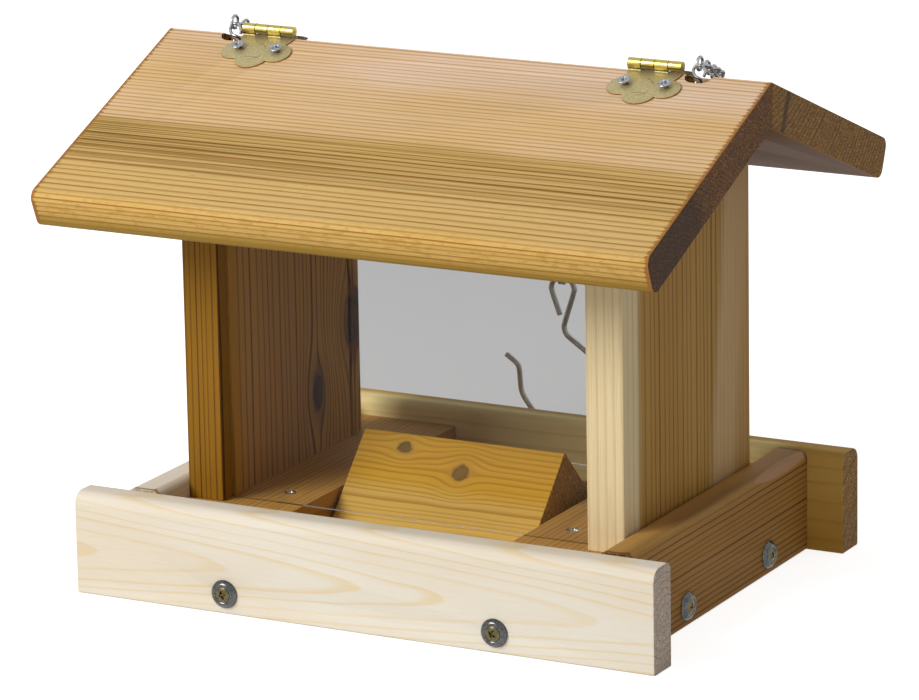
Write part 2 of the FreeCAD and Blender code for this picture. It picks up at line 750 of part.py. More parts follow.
def eave_loop(side):
    """Middle of the loop that bends over the eave, where the hanging leg is taut."""
    y, z, down = eave_loop_place()
    bottom = end_loop(side)
    leg = drop_steps(side) * TAUT_PITCH + TWIN
    return V(bottom.x + side * math.sqrt(leg ** 2 - (z - bottom.z) ** 2), y, z)


def roof_run(side):
    """Links that lie on the back slope, over the hinge and down to the eave."""
    top = chain_top(side)
    eave = eave_loop(side)
    end_down = eave_loop_place()[2]

    lean_down = (CHAIN_OVER_HINGE + CHAIN_PAST_HINGE) / 2

    def route_point(down, up):
        share = (down - lean_down) / (end_down - CHAIN_TURN / 2 - lean_down)
        return on_roof(1, top.x + (eave.x - top.x) * share, down, up)

    route = [top, on_roof(1, top.x, CHAIN_OVER_HINGE, CHAIN_RISE), route_point(CHAIN_PAST_HINGE, CHAIN_LIE),
             route_point(end_down - CHAIN_NEAR_EAVE, CHAIN_LIE),
             route_point(end_down - CHAIN_TURN, CHAIN_EAVE_RISE), eave]
    length = path_length(route)
    count = round(length / LYING_PITCH)
    ramps = [min(index, count - 1 - index, CHAIN_ROLL_LINKS) / CHAIN_ROLL_LINKS for index in range(count)]
    rolls = [-side * CHAIN_ROLL_DEG * ramp for ramp in ramps]
    return chain_links(route, count, length / count, roof_normal(1), rolls)


def drop_run(side):
    """Links that hang from the eave to the hook's eye, with a quarter turn on the way."""
    route = [eave_loop(side), end_loop(side)]
    steps = drop_steps(side)
    rolls = [90.0 * index / steps for index in range(steps + 1)]
    return chain_links(route, steps + 1, TAUT_PITCH, Y_AXIS, rolls, X_AXIS)


# Hook
def bend_corners():
    """Corners round the hook's big bend, for arcs of one radius."""
    middle = V(BEND_SHIFT, 0, -BEND_BELOW_EYE)
    step = BEND_TURN_DEG / BEND_CORNERS
    reach = BEND_RADIUS / math.cos(math.radians(step / 2))
    corners = []
    for index in range(BEND_CORNERS):
        heading = math.radians(BEND_START_DEG - step * (index + 0.5))
        corners.append((middle + V(-math.sin(heading), 0, math.cos(heading)) * reach, BEND_RADIUS))
    return corners


def eye_corner(foot, side):
    """Corner over the eye, where the leg from a foot past its side meets the line along its top."""
    lean = math.asin(EYE_RADIUS / foot.Length)
    heading = math.atan2(-foot.z, -foot.x) - side * lean
    return V(foot.x + (EYE_RADIUS - foot.z) / math.tan(heading), 0, EYE_RADIUS)


def hook():
    """One wire: cut end, eye, kinked neck, big bend and a turned-out tip."""
    round_eye = EYE_RADIUS * EYE_ROUNDING
    cut_end = V(CUT_END_X, 0, -CUT_END_BELOW)
    kink = V(KINK_X, 0, -KINK_BELOW)
    corners = [(cut_end, 0), (eye_corner(cut_end, -1), round_eye), (eye_corner(kink, 1), round_eye),
               (kink, KINK_RADIUS)]
    corners += bend_corners()
    corners += [(V(LIMB_FOOT_X, 0, -LIMB_FOOT_BELOW), LIMB_FOOT_RADIUS),
                (V(LIMB_TOP_X, 0, -LIMB_TOP_BELOW), LIMB_TOP_RADIUS), (V(TIP_X, 0, -TIP_BELOW), 0)]
    middle = eye_middle()
    path = rounded_wire([(middle + point, radius) for point, radius in corners], False)
    return wire_tube(path.discretize(QuasiDeflection=HOOK_SAG), HOOK_WIRE / 2, HOOK_SIDES)


# Groups of like pieces
def all_rail_screws():
    return [rail_screw(*place) for side in rail_screw_places().values() for place in side]


def all_cup_washers():
    return [cup_washer(*place) for side in rail_screw_places().values() for place in side]


def flat_screws(places):
    return [turned(flat_screw_profile(length), base, outward) for base, outward, length in places]


def both_sides(places):
    return places(-1) + places(1)


os.makedirs("parts", exist_ok=True)
save("front_rail", [long_rail(-1)])
save("back_rail", [long_rail(1)])
save("left_side_rail", [side_rail(-1)])
save("right_side_rail", [side_rail(1)])
save("front_bottom_board", [bottom_board(-INNER_TRAY, INNER_TRAY - BACK_BOTTOM_WIDTH - DRAIN_GAP)])
save("back_bottom_board", [bottom_board(INNER_TRAY - BACK_BOTTOM_WIDTH, INNER_TRAY)])
save("left_floor_board", [floor_board(-1)])
save("right_floor_board", [floor_board(1)])
save("left_wall", [wall(-1)])
save("right_wall", [wall(1)])
save("front_pane", [pane(-PANE_Y)])
save("back_pane", [pane(PANE_Y)])
save("seed_ramp", [ramp()])
save("front_roof_lid", [roof_board(-1, LID_GAP)])
save("back_roof_board", [fixed_roof_board()])
for hinge_name, hinge_middle in hinge_middles().items():
    save(hinge_name + "_hinge_lid_leaf", [hinge_leaf(-1, hinge_middle)])
    save(hinge_name + "_hinge_fixed_leaf", [hinge_leaf(1, hinge_middle)])
    save(hinge_name + "_hinge_pin", [hinge_pin(hinge_middle)])
save("lid_hinge_screws", [hinge_screw(base, outward) for base, outward, radius, length in hinge_screws(-1)])
save("fixed_hinge_screws", [hinge_screw(base, outward) for base, outward, radius, length in hinge_screws(1)])
save("rail_screws", all_rail_screws())
save("cup_washers", all_cup_washers())
save("floor_screws", flat_screws(both_sides(floor_screws)))
save("wall_screws", flat_screws(both_sides(wall_screws)))
save("ramp_screws", flat_screws(ramp_screws()))
save("roof_screws", flat_screws(both_sides(roof_screws)))
save("chain_anchor_screws", [anchor_screw(-1), anchor_screw(1)])
for chain_name, chain_side in (("left", -1), ("right", 1)):
    save(chain_name + "_anchor_links", anchor_links(chain_side))
    save(chain_name + "_chain_on_roof", roof_run(chain_side))
    save(chain_name + "_chain_drop", drop_run(chain_side))
save("hanging_hook", [hook()])

eave_y, eave_z, eave_down = eave_loop_place()
print("lid hinge axis z", round(BARREL_Z, 3))
print("chain pivot z", round(CHAIN_Z, 3))
print("eave pivot y and z", round(eave_y, 3), round(eave_z, 3))
print("hook pivot", [round(value, 3) for value in hook_pivot()])
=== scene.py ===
import math
import bmesh
import bpy
from mathutils import Matrix, Vector


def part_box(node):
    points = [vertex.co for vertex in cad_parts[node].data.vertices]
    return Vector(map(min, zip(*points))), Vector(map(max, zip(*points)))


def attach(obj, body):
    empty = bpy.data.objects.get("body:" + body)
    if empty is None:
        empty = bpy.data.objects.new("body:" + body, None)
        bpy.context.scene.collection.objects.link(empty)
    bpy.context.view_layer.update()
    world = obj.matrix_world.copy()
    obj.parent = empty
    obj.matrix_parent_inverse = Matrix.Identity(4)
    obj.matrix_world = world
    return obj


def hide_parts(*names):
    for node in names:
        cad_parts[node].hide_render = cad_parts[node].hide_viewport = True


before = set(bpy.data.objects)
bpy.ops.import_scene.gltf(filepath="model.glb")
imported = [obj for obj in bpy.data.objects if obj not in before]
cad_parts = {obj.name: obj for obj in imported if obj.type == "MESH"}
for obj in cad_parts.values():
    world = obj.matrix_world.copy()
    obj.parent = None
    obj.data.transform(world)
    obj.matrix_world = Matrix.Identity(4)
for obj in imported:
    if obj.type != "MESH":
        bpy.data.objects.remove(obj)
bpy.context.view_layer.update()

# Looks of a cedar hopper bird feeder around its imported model. Lengths here are millimetres,
# turned into metres by MM; X runs along the ridge, Y to the back and Z up.
MM = 0.001
X = (1, 0, 0)
Y = (0, 1, 0)
Z = (0, 0, 1)

# Camera, at the photograph's viewing angle
EYE = Vector((1334.86, -2510.53, 875.61))
AZIMUTH = math.radians(28.0904)
ELEVATION = math.radians(14.8459)
ROLL = math.radians(-1.0383)
LENS = 215.817
SENSOR = 36.0
CLIP_END = 60000.0

# Light and floor; NO_PANE tells a ray that has crossed no pane
WORLD_LEVEL = 0.36
KEY_PLACE = Vector((-1500.0, -2300.0, 1900.0))
KEY_AIM = Vector((0.0, 0.0, 120.0))
KEY_SIZE = 1500.0
KEY_POWER = 84.0
FLOOR_SIZE = 30000.0
FLOOR_DROP = 0.2
FLOOR_COLOUR = (226, 226, 226)
FLOOR_GLOW = 0.8
NO_PANE = 0.5

# Sizes shared with the model
ROOF_SLOPE = math.radians(22.2)
RAMP_SLOPE = math.radians(46.0)
LINK_WIRE = 1.7
HOOK_WIRE = 3.1
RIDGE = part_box("back_roof_board")[1].z / MM
ROOF_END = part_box("back_roof_board")[1].x / MM
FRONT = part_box("front_rail")[0].y / MM
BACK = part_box("back_rail")[1].y / MM
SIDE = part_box("right_side_rail")[1].x / MM
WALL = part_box("right_wall")[1].x / MM
WALL_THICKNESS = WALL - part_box("right_wall")[0].x / MM
FLOOR_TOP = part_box("right_floor_board")[1].z / MM
RAMP_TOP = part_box("seed_ramp")[1].z / MM
RAIL_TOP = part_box("right_side_rail")[1].z / MM
RAIL_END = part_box("right_side_rail")[1].y / MM

# Board edges, and the shading of every piece: faces broader than BROAD_FACE are shaded flat
EASE = 0.45
EASE_STEPS = 2
FLAT_EDGE = math.radians(1)
SHARP_EDGE = math.radians(40)
BOARD_CREASE = math.radians(20)
PIECE_CREASE = math.radians(38)
BROAD_FACE = 1500.0

# Panes
PANE_PALE = (110, 110, 116)
PANE_GREY = (80, 80, 86)
PANE_EDGE = (214, 214, 222)
PANE_ALPHA = 0.035
PANE_EDGE_ALPHA = 0.5
PANE_SHINE = 0.9
PANE_ROUGHNESS = 0.02
PANE_RIM_EDGES = (0.6, 0.4)
SMEAR_ROUGHNESS = 0.1
SMEAR_PACE = (0.02, 0.035)

# Hinges, with the leaf drawn as (along the barrel, down the slope)
BARREL_LENGTH = 31.0
BARREL_RADIUS = 2.7
BARREL_UP = 3.55
KNUCKLES = 4
KNUCKLE_GAP = 0.3
KNUCKLE_STEPS = 40
KNUCKLE_EASE = 0.15
KNUCKLE_WEB = 1.7
KNUCKLE_FOOT = ((0.12, 1.3), (0.4, 1.08), (0.8, 1.0), (0.8, 0.4))
PIN_END = ((0.55, 0.0), (0.9, 0.12), (1.0, 0.35))
LEAF_START = 0.5
PARALLEL = 1e-9
LEAF_SIDES = 240
LEAF_HEART = Vector((0.0, 12.0))
LEAF_PLATE = ((-15.5, 0.5), (15.5, 0.5), (15.5, 3.0), (13.6, 8.0), (12.5, 15.8),
              (0.0, 26.0), (-12.5, 15.8), (-13.6, 8.0), (-15.5, 3.0))
LEAF_LOBES = ((-12.5, 15.8, 8.1), (12.5, 15.8, 8.1), (0.0, 21.3, 9.5))
LEAF_RINGS = ((0.1, 0.02), (0.0, 0.15), (0.0, 0.7), (0.1, 0.9), (0.35, 1.0))
LEAF_STROKES = ({"x": 0.0, "down": 32.0, "radius": 11.0, "low": -4.5, "high": 4.0},
                {"x": -3.0, "down": 16.0, "radius": 8.0, "low": -1.0, "high": 4.4})
HINGE_MIDDLES = [sum(corner.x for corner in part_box(side + "_hinge_pin")) / 2 for side in ("left", "right")]

# Leaves and barrels; RIM_MARK, BARREL_EDGES and the edges of the barrel's painted shade are heights above the
# roof
LEAF_BRASS = (184, 170, 126)
LEAF_DULL = (164, 149, 101)
LEAF_RIM = (150, 112, 32)
LEAF_MARK = (98, 84, 46)
# The barrel's foot is painted dark as shade, fading into the brass between the shade's edges
BARREL_SHADE = (58, 44, 12)
BARREL_BRASS = (182, 166, 92)
LEAF_STAIN_EDGES = (0.38, 0.66)
LEAF_METALLIC = 0.6
LEAF_ROUGHNESS = 0.4
RIM_MARK = (0.98, 0.7, 0.8)
STROKE_MARK = (0.32, 0.12, 0.8)
STROKE_SOFT = 0.4
BRUSH_ALONG = 0.5
BRUSH_DOWN = 7.0
BRUSH_ROUGHNESS = 0.12
BRUSH_BUMP = (0.06, 0.1)
BARREL_EDGES = (1.1, 1.6)
BARREL_SHADE_EDGES = (1.3, 2.8)
BARREL_POLISH = 0.22

# Other metals: colour, dull colour, roughness, how fine the grit is, and how metallic
METALS = {
    "pin_brass": ((176, 150, 66), (140, 116, 48), 0.3, 6.0, 1.0),
    "zinc_plate": ((168, 170, 174), (126, 128, 132), 0.3, 6.0, 1.0),
    "cup_plate": ((94, 95, 96), (66, 66, 65), 0.2, 5.0, 1.0),
    "yellowed_zinc": ((106, 98, 70), (78, 70, 46), 0.28, 6.0, 1.0),
    "hook_wire": ((196, 195, 190), (168, 167, 162), 0.32, 4.0, 0.4),
}
STAIN_EDGES = (0.4, 0.68)
STAIN_ROUGHNESS = 0.16
GRIT_ROUGHNESS = 0.22
GRIT_BUMP = (0.08, 0.1)

# Wires; a cut end narrows to WIRE_END of the radius over WIRE_EASE of it
WELD = 0.002
TIP_LAYERS = 4
TIP_REACH = 1.05
WIRE_STEPS = 5
WIRE_SIDES = 12
WIRE_END = 0.8
WIRE_EASE = 0.2

# Screws; the recess is in shares of its arm's reach, the thread's root and the point in the shank's radius
HEAD_RINGS = 14
HEAD_SIDES = 48
HEAD_TOP = 0.05
RECESS_HALF = 0.24
RECESS_WALL = 0.1
RECESS_TIP = 0.25
RECESS_SLOPE = 0.45
DRIVE_START = 0.35
DRIVE_TURN = 0.7
SHANK_SIDES = 16
THREAD_PITCH = 1.8
THREAD_STEPS = 4
THREAD_ROOT = 0.74
POINT_LENGTH = 2.2
POINT_BLUNT = 0.12
CUP_SEAT = 3.3


def srgb(colour):
    """Linear colour for an 8-bit one."""
    parts = [value / 255 for value in colour]
    linear = [part / 12.92 if part <= 0.04045 else ((part + 0.055) / 1.055) ** 2.4 for part in parts]
    return (*linear, 1.0)


def tint(colour, over):
    """Factor that turns the second colour into the first."""
    return tuple(a / b for a, b in zip(srgb(colour), srgb(over)))


class Graph:
    """Nodes of one material or world, with short calls that return sockets."""

    def __init__(self, name, world=False):
        self.owner = (bpy.data.worlds if world else bpy.data.materials).new(name)
        self.owner.use_nodes = True
        self.tree = self.owner.node_tree
        self.tree.nodes.clear()
        self.output = self.tree.nodes.new("ShaderNodeOutputWorld" if world else "ShaderNodeOutputMaterial")

    def node(self, kind, inputs, **settings):
        made = self.tree.nodes.new(kind)
        for key, value in settings.items():
            setattr(made, key, value)
        for key, value in inputs.items():
            if isinstance(value, bpy.types.NodeSocket):
                self.tree.links.new(value, made.inputs[key])
            else:
                made.inputs[key].default_value = value
        return made

    def math(self, operation, first, second=0.0):
        return self.node("ShaderNodeMath", {0: first, 1: second}, operation=operation).outputs[0]

    def chain(self, operation, first, *others):
        for value in others:
            first = self.math(operation, first, value)
        return first

    def total(self, *values):
        return self.chain("ADD", *values)

    def times(self, *values):
        return self.chain("MULTIPLY", *values)

    def minus(self, first, second):
        return self.math("SUBTRACT", first, second)

    def length(self, *values):
        """Length of a line from its parts along square axes."""
        return self.math("SQRT", self.total(*[self.times(value, value) for value in values]))

    def least(self, mask, low):
        """Mask that goes no lower than a value."""
        return self.total(self.times(mask, 1 - low), low)

    def rise(self, value, low, high):
        """0 at low, 1 at high, smooth between."""
        inputs = {"Value": value, "From Min": low, "From Max": high}
        return self.node("ShaderNodeMapRange", inputs, interpolation_type="SMOOTHSTEP").outputs[0]

    def mark(self, value, low, high, share):
        """Rise that goes up to a share."""
        return self.times(self.rise(value, low, high), share)

    def window(self, value, low, high, soft):
        """1 from low to high, with soft edges."""
        up = self.rise(value, low - soft, low + soft)
        return self.times(up, self.rise(value, high + soft, high - soft))

    def dot(self, vector, axis):
        made = self.node("ShaderNodeVectorMath", {0: vector, 1: axis}, operation="DOT_PRODUCT")
        return made.outputs["Value"]

    def vector(self, x, y, z):
        return self.node("ShaderNodeCombineXYZ", {0: x, 1: y, 2: z}).outputs[0]

    def noise(self, vector, detail=2.0, roughness=0.5):
        inputs = {"Vector": vector, "Scale": 1.0, "Detail": detail, "Roughness": roughness}
        return self.node("ShaderNodeTexNoise", inputs).outputs[0]

    def noise_along(self, value):
        inputs = {"W": value, "Scale": 1.0, "Detail": 1.0}
        return self.node("ShaderNodeTexNoise", inputs, noise_dimensions="1D").outputs[0]

    def chance(self, value):
        return self.node("ShaderNodeTexWhiteNoise", {"W": value}, noise_dimensions="1D").outputs["Value"]

    def mix(self, first, second, share, blend="MIX"):
        made = self.node("ShaderNodeMix", {0: share, 6: first, 7: second}, data_type="RGBA", blend_type=blend)
        return made.outputs[2]

    def bump(self, height, strength, distance):
        inputs = {"Height": height, "Strength": strength, "Distance": distance * MM}
        return self.node("ShaderNodeBump", inputs).outputs[0]

    def place(self):
        """Place on the object at rest, in millimetres."""
        spot = self.node("ShaderNodeTexCoord", {}).outputs["Object"]
        scaled = self.node("ShaderNodeVectorMath", {0: spot, "Scale": 1 / MM}, operation="SCALE")
        return scaled.outputs[0]

    def facing(self, axis):
        """How squarely the surface faces along an axis, either way."""
        normal = self.node("ShaderNodeTexCoord", {}).outputs["Normal"]
        return self.math("ABSOLUTE", self.dot(normal, axis))

    def show(self, shader):
        """Use a shader as the result."""
        self.tree.links.new(shader.outputs[0], self.output.inputs["Surface"])
        return self.owner

    def shade(self, inputs):
        return self.show(self.node("ShaderNodeBsdfPrincipled", inputs))


# Wood: rings round a pith line; u runs with the grain, v across and w out of the board. A noise is pace
# along and across, detail and roughness; edges are where a mark starts and is full, a mark adds strength.
FIBRES = (1 / 34, 1.5, 3.0, 0.6)
FIBRE_MARK = (0.42, 0.75, 0.6)
FIBRE_RISE = 0.5
FIBRE_ROUGHNESS = 0.16
SPECKS = (0.25, 2.6, 2.0, 0.5)
SPECK_MARK = (0.55, 0.8, 0.45)
SPECK_RISE = 0.35
STREAKS = (1 / 240, 0.7, 3.0, 0.6)
STREAK_EDGES = (0.43, 0.57)
BLOTCH_ALONG = 0.3
BLOTCH_EDGES = (0.35, 0.65)
SWAY_ACROSS = 4
UNEVEN_PACE = 0.37
LINE_TOP = 0.9
LINE_END = 0.94
LINE_LEAST = 0.55
END_EDGES = (0.55, 0.75)
PORE_ALONG = 0.2
PORE_EDGES = (0.42, 0.64)
PORE_RISE = 1.6
DARK_END_PACE = 0.12
DARK_END_MARK = (0.4, 0.7, 0.4)
WOOD_BUMP = (0.35, 0.35)
WOOD_SHINE = 0.16

# Knots; distances are in a knot's own radii
KNOT_DEPTH = 1.8
KNOT_CALM = 0.22
KNOT_PACE = 0.35
KNOT_ROUGH = 0.9
HALO_MARK = (2.6, 0.8, 0.55)
HEART_MARK = (1.2, 0.7, 0.9)
CORE_EDGES = (0.85, 0.5)
CORE_SHARE = 0.3
KNOT_RINGS = 3.2
KNOT_RING_MARK = (0.3, 0.9, 0.35)

# Planed patch, flecks, and torn fibres at the ends
PATCH_MARK = (0.0, 0.08, 0.85)
FLECK_EDGE = 0.12
FLECK_SOFT = 8.0
TOOTH_PACE = 0.7
TOOTH_MARK = (0.35, 0.75, 0.75)
FRINGE_REACH = 0.2
FRINGE_LINE = 0.4
FRINGE_EDGES = (-0.3, 0.5)
FRINGE_SOFT = 2.0

# What a board has unless its own table says otherwise
WOOD = {
    "taper": 0.0, "sway_length": 120.0, "line_rise": None, "uneven": 1.1, "blotch": 55.0,
    "bands": (), "over": (), "end_bands": (), "end_lines": 0.6, "knots": (), "patch": None, "fringe": None,
    "flecks": (), "roughness": 0.62, "raise": 0.25,
}


def band(axis, low, high, soft, colour, strength, **more):
    """Stretch of another colour; it may lean, break into streaks and fade along the grain."""
    plain = {"lean": 0.0, "streaks": 0.0, "fade": None}
    return {"axis": axis, "low": low, "high": high, "soft": soft, "colour": colour, "strength": strength,
            **plain, **more}


def grain_noise(g, at, along, across, detail=2.0, roughness=0.5):
    """Noise drawn out with the grain."""
    place = g.vector(g.times(at["u"], along), g.times(at["v"], across), g.times(at["w"], across))
    return g.noise(place, detail, roughness)


def ring_shape(g, at, wood):
    """Distance from the pith in rings, with slow sway and lines that part round knots."""
    across, depth = wood["pith"]
    radius = g.length(g.minus(at["v"], across), g.minus(at["w"], depth))
    slow = 1 / wood["sway_length"]
    drift = grain_noise(g, at, slow, SWAY_ACROSS * slow)
    sway = g.times(g.minus(drift, 0.5), 2 * wood["sway"])
    radius = g.total(radius, g.times(at["u"], wood["taper"]), sway)
    for knot in wood["knots"]:
        far = knot_distance(g, at, knot)
        reach = g.math("EXPONENT", g.times(far, far, -KNOT_CALM))
        aside = g.times(g.minus(at["v"], knot["v"]), 1 / knot["radius"])
        radius = g.total(radius, g.times(reach, aside, knot["push"]))
    return g.times(radius, 1 / wood["spacing"])


def knot_distance(g, at, knot):
    """Distance from a knot's heart in its own radii."""
    along = g.times(g.minus(at["u"], knot["u"]), 1 / (knot["radius"] * knot["stretch"]))
    aside = g.times(g.minus(at["v"], knot["v"]), 1 / knot["radius"])
    into = g.times(g.minus(at["w"], knot["w"]), 1 / (knot["radius"] * KNOT_DEPTH))
    return g.length(along, aside, into)


def line_mask(g, at, wood):
    """Dark late wood at the end of each ring; rings differ in width and strength."""
    rings = ring_shape(g, at, wood)
    uneven = g.times(g.minus(g.noise_along(g.times(rings, UNEVEN_PACE)), 0.5), wood["uneven"])
    count = g.total(rings, uneven)
    phase = g.math("FRACT", count)
    climb = g.rise(phase, 1 - wood["line_width"], LINE_TOP)
    drop = g.rise(phase, 1.0, LINE_END)
    strength = g.least(g.chance(g.math("FLOOR", count)), LINE_LEAST)
    if wood["line_rise"]:
        low, high, least = wood["line_rise"]
        strength = g.times(strength, g.least(g.rise(at["v"], low, high), least))
    return g.times(climb, drop, strength)


def band_mask(g, at, part):
    """Where a band lies, with edges that wander with the blotches."""
    along = g.total(at[part["axis"]], g.times(at["u"], part["lean"]))
    wander = g.times(g.minus(at["patches"], 0.5), 2 * part["soft"])
    mask = g.window(g.total(along, wander), part["low"], part["high"], part["soft"])
    if part["streaks"]:
        mask = g.times(mask, g.least(at["streaks"], 1 - part["streaks"]))
    if part["fade"]:
        start, end, left = part["fade"]
        mask = g.times(mask, g.total(1.0, g.times(g.rise(at["u"], start, end), left - 1.0)))
    return g.times(mask, part["strength"])


def knot_colour(g, colour, at, knot):
    """Dark heart with a darker rim and its own rings, in a halo."""
    far = knot_distance(g, at, knot)
    face = g.vector(g.times(at["u"], KNOT_PACE), g.times(at["v"], KNOT_PACE), 0.0)
    grain = g.noise(face, detail=3.0, roughness=0.7)
    rough = g.total(far, g.times(g.minus(grain, 0.5), KNOT_ROUGH))
    colour = g.mix(colour, srgb(knot["halo"]), g.mark(rough, *HALO_MARK))
    rings = g.mark(g.math("FRACT", g.times(rough, KNOT_RINGS)), *KNOT_RING_MARK)
    light = g.times(g.rise(rough, *CORE_EDGES), g.total(rings, CORE_SHARE))
    core = g.mix(srgb(knot["heart"]), srgb(knot["core"]), light)
    return g.mix(colour, core, g.mark(rough, *HEART_MARK))


def patch_colour(g, colour, at, patch):
    """Smooth lens where a rounded edge was planed away."""
    along = g.times(g.minus(at["u"], patch["u"]), 1 / patch["half"])
    over = g.times(g.total(at["v"], g.times(at["w"], -1.0), -patch["over"]), 1 / patch["width"])
    inside = g.total(1.0, g.times(along, along, -1.0), g.times(over, over, -1.0))
    return g.mix(colour, srgb(patch["colour"]), g.mark(inside, *PATCH_MARK))


def fleck_colour(g, colour, at, fleck):
    """Short dark dashes and mottling along the grain, on one stretch across the board."""
    dashes = grain_noise(g, at, 1 / fleck["length"], 1 / fleck["width"], detail=3.0, roughness=0.6)
    marks = g.rise(dashes, fleck["start"], fleck["start"] + FLECK_EDGE)
    stretch = g.window(at["v"], fleck["low"], fleck["high"], FLECK_SOFT)
    return g.mix(colour, srgb(fleck["colour"]), g.times(marks, stretch, fleck["strength"]))


def fringe_colour(g, colour, at, fringe):
    """Darker torn fibres along the sawn ends of a board's face."""
    end, width, shade, strength, above = fringe
    ragged = g.noise(g.vector(g.times(at["v"], TOOTH_PACE), 0.0, 0.0), detail=3.0, roughness=0.75)
    shares = g.total(FRINGE_REACH, g.mark(ragged, *TOOTH_MARK), g.times(at["lines"], FRINGE_LINE))
    start = g.minus(end, g.times(shares, width))
    near = g.rise(g.minus(g.math("ABSOLUTE", at["u"]), start), *FRINGE_EDGES)
    high = g.rise(at["v"], above, above + FRINGE_SOFT)
    return g.mix(colour, srgb(shade), g.times(near, high, strength))


def side_colour(g, at, wood):
    """Colour along the grain: early wood, bands, late wood lines, fibres and marks."""
    colour = g.mix(srgb(wood["early"]), srgb(wood["other"]), g.rise(at["patches"], *BLOTCH_EDGES))
    for part in wood["bands"]:
        colour = g.mix(colour, srgb(part["colour"]), band_mask(g, at, part))
    late = tint(wood["late"], wood["early"])
    colour = g.mix(colour, late, g.times(at["lines"], wood["line"]), "MULTIPLY")
    for part in wood["over"]:
        colour = g.mix(colour, srgb(part["colour"]), band_mask(g, at, part))
    dark = (1 - 2 * wood["fibre"],) * 3 + (1.0,)
    colour = g.mix(colour, dark, g.mark(at["fine"], *FIBRE_MARK), "MULTIPLY")
    colour = g.mix(colour, dark, g.mark(at["specks"], *SPECK_MARK), "MULTIPLY")
    for fleck in wood["flecks"]:
        colour = fleck_colour(g, colour, at, fleck)
    for knot in wood["knots"]:
        colour = knot_colour(g, colour, at, knot)
    if wood["patch"]:
        colour = patch_colour(g, colour, at, wood["patch"])
    if wood["fringe"]:
        colour = fringe_colour(g, colour, at, wood["fringe"])
    return colour


def end_colour(g, at, pores, wood):
    """Colour of the sawn ends: open pores, ring lines and darker stretches."""
    face = g.vector(g.times(at["v"], DARK_END_PACE), g.times(at["w"], DARK_END_PACE), 0.0)
    colour = g.mix(srgb(wood["end_dark"]), srgb(wood["end_light"]), g.rise(pores, *PORE_EDGES))
    colour = g.mix(colour, srgb(wood["end_dark"]), g.mark(g.noise(face), *DARK_END_MARK))
    ring = tint(wood["end_dark"], wood["end_light"])
    colour = g.mix(colour, ring, g.times(at["lines"], wood["end_lines"]), "MULTIPLY")
    for part in wood["end_bands"]:
        colour = g.mix(colour, srgb(part["colour"]), band_mask(g, at, part), "MULTIPLY")
    return colour


def board_spots(g, spot, wood):
    """What the materials need at a place: u, v and w, the ring lines and the noises."""
    place = g.node("ShaderNodeVectorMath", {0: g.place(), 1: spot["origin"]}, operation="SUBTRACT").outputs[0]
    at = {axis: g.dot(place, spot[way]) for axis, way in (("u", "grain"), ("v", "across"), ("w", "depth"))}
    at["lines"] = line_mask(g, at, wood)
    at["fine"] = grain_noise(g, at, *FIBRES)
    at["specks"] = grain_noise(g, at, *SPECKS)
    at["patches"] = grain_noise(g, at, BLOTCH_ALONG / wood["blotch"], 1 / wood["blotch"])
    at["streaks"] = g.rise(grain_noise(g, at, *STREAKS), *STREAK_EDGES)
    return at


def wood_material(name, spot, own):
    """Procedural board; spot holds its grain, across and depth axes and its origin."""
    wood = {**WOOD, **own}
    g = Graph(name)
    at = board_spots(g, spot, wood)
    end_place = g.vector(at["v"], at["w"], g.times(at["u"], PORE_ALONG))
    pores = g.noise(end_place, detail=3.0, roughness=0.7)
    ends = g.rise(g.facing(spot["grain"]), *END_EDGES)
    colour = g.mix(side_colour(g, at, wood), end_colour(g, at, pores, wood), ends)
    height = g.total(g.times(at["lines"], -wood["raise"]), g.times(at["fine"], FIBRE_RISE),
                     g.times(at["specks"], SPECK_RISE), g.times(pores, ends, PORE_RISE))
    rough = g.total(g.times(at["fine"], FIBRE_ROUGHNESS), wood["roughness"] - FIBRE_ROUGHNESS / 2)
    return g.shade({"Base Color": colour, "Roughness": rough, "Specular IOR Level": WOOD_SHINE,
                    "Normal": g.bump(height, *WOOD_BUMP)})


def axes(grain, across, depth, origin):
    return {"grain": grain, "across": across, "depth": depth, "origin": origin}


def roof_axes(side):
    """Across runs down the slope from the ridge, depth out of the roof."""
    down = (0, side * math.cos(ROOF_SLOPE), -math.sin(ROOF_SLOPE))
    out = (0, side * math.sin(ROOF_SLOPE), math.cos(ROOF_SLOPE))
    return axes(X, down, out, (0, 0, RIDGE))


def ramp_axes():
    """Across runs up the front face to its top edge, depth out of that face."""
    up = (0, math.cos(RAMP_SLOPE), math.sin(RAMP_SLOPE))
    out = (0, -math.sin(RAMP_SLOPE), math.cos(RAMP_SLOPE))
    return axes(X, up, out, (0, 0, RAMP_TOP))


PALE_RAIL = {
    "early": (233, 225, 209), "other": (230, 217, 195), "late": (228, 198, 134),
    "end_light": (226, 208, 190), "end_dark": (178, 160, 144),
    "spacing": 4.0, "line": 0.5, "line_width": 0.36, "sway": 1.6, "sway_length": 90.0,
    "fibre": 0.04, "raise": 0.1, "roughness": 0.66,
}

ROOF = {
    "early": (231, 201, 172), "other": (224, 188, 142), "late": (202, 152, 82),
    "end_light": (166, 110, 46), "end_dark": (56, 30, 5),
    "line": 1.0, "line_width": 0.58, "uneven": 0.75, "sway": 0.7, "sway_length": 140.0,
    "fibre": 0.08, "fringe": (ROOF_END, 4.5, (152, 100, 42), 0.9, -10.0),
}

BROWN = {
    "early": (176, 128, 60), "other": (160, 112, 48), "late": (104, 64, 18),
    "end_light": (156, 112, 56), "end_dark": (80, 50, 18),
    "spacing": 3.4, "line": 0.85, "line_width": 0.5, "sway": 0.8, "fibre": 0.1,
}

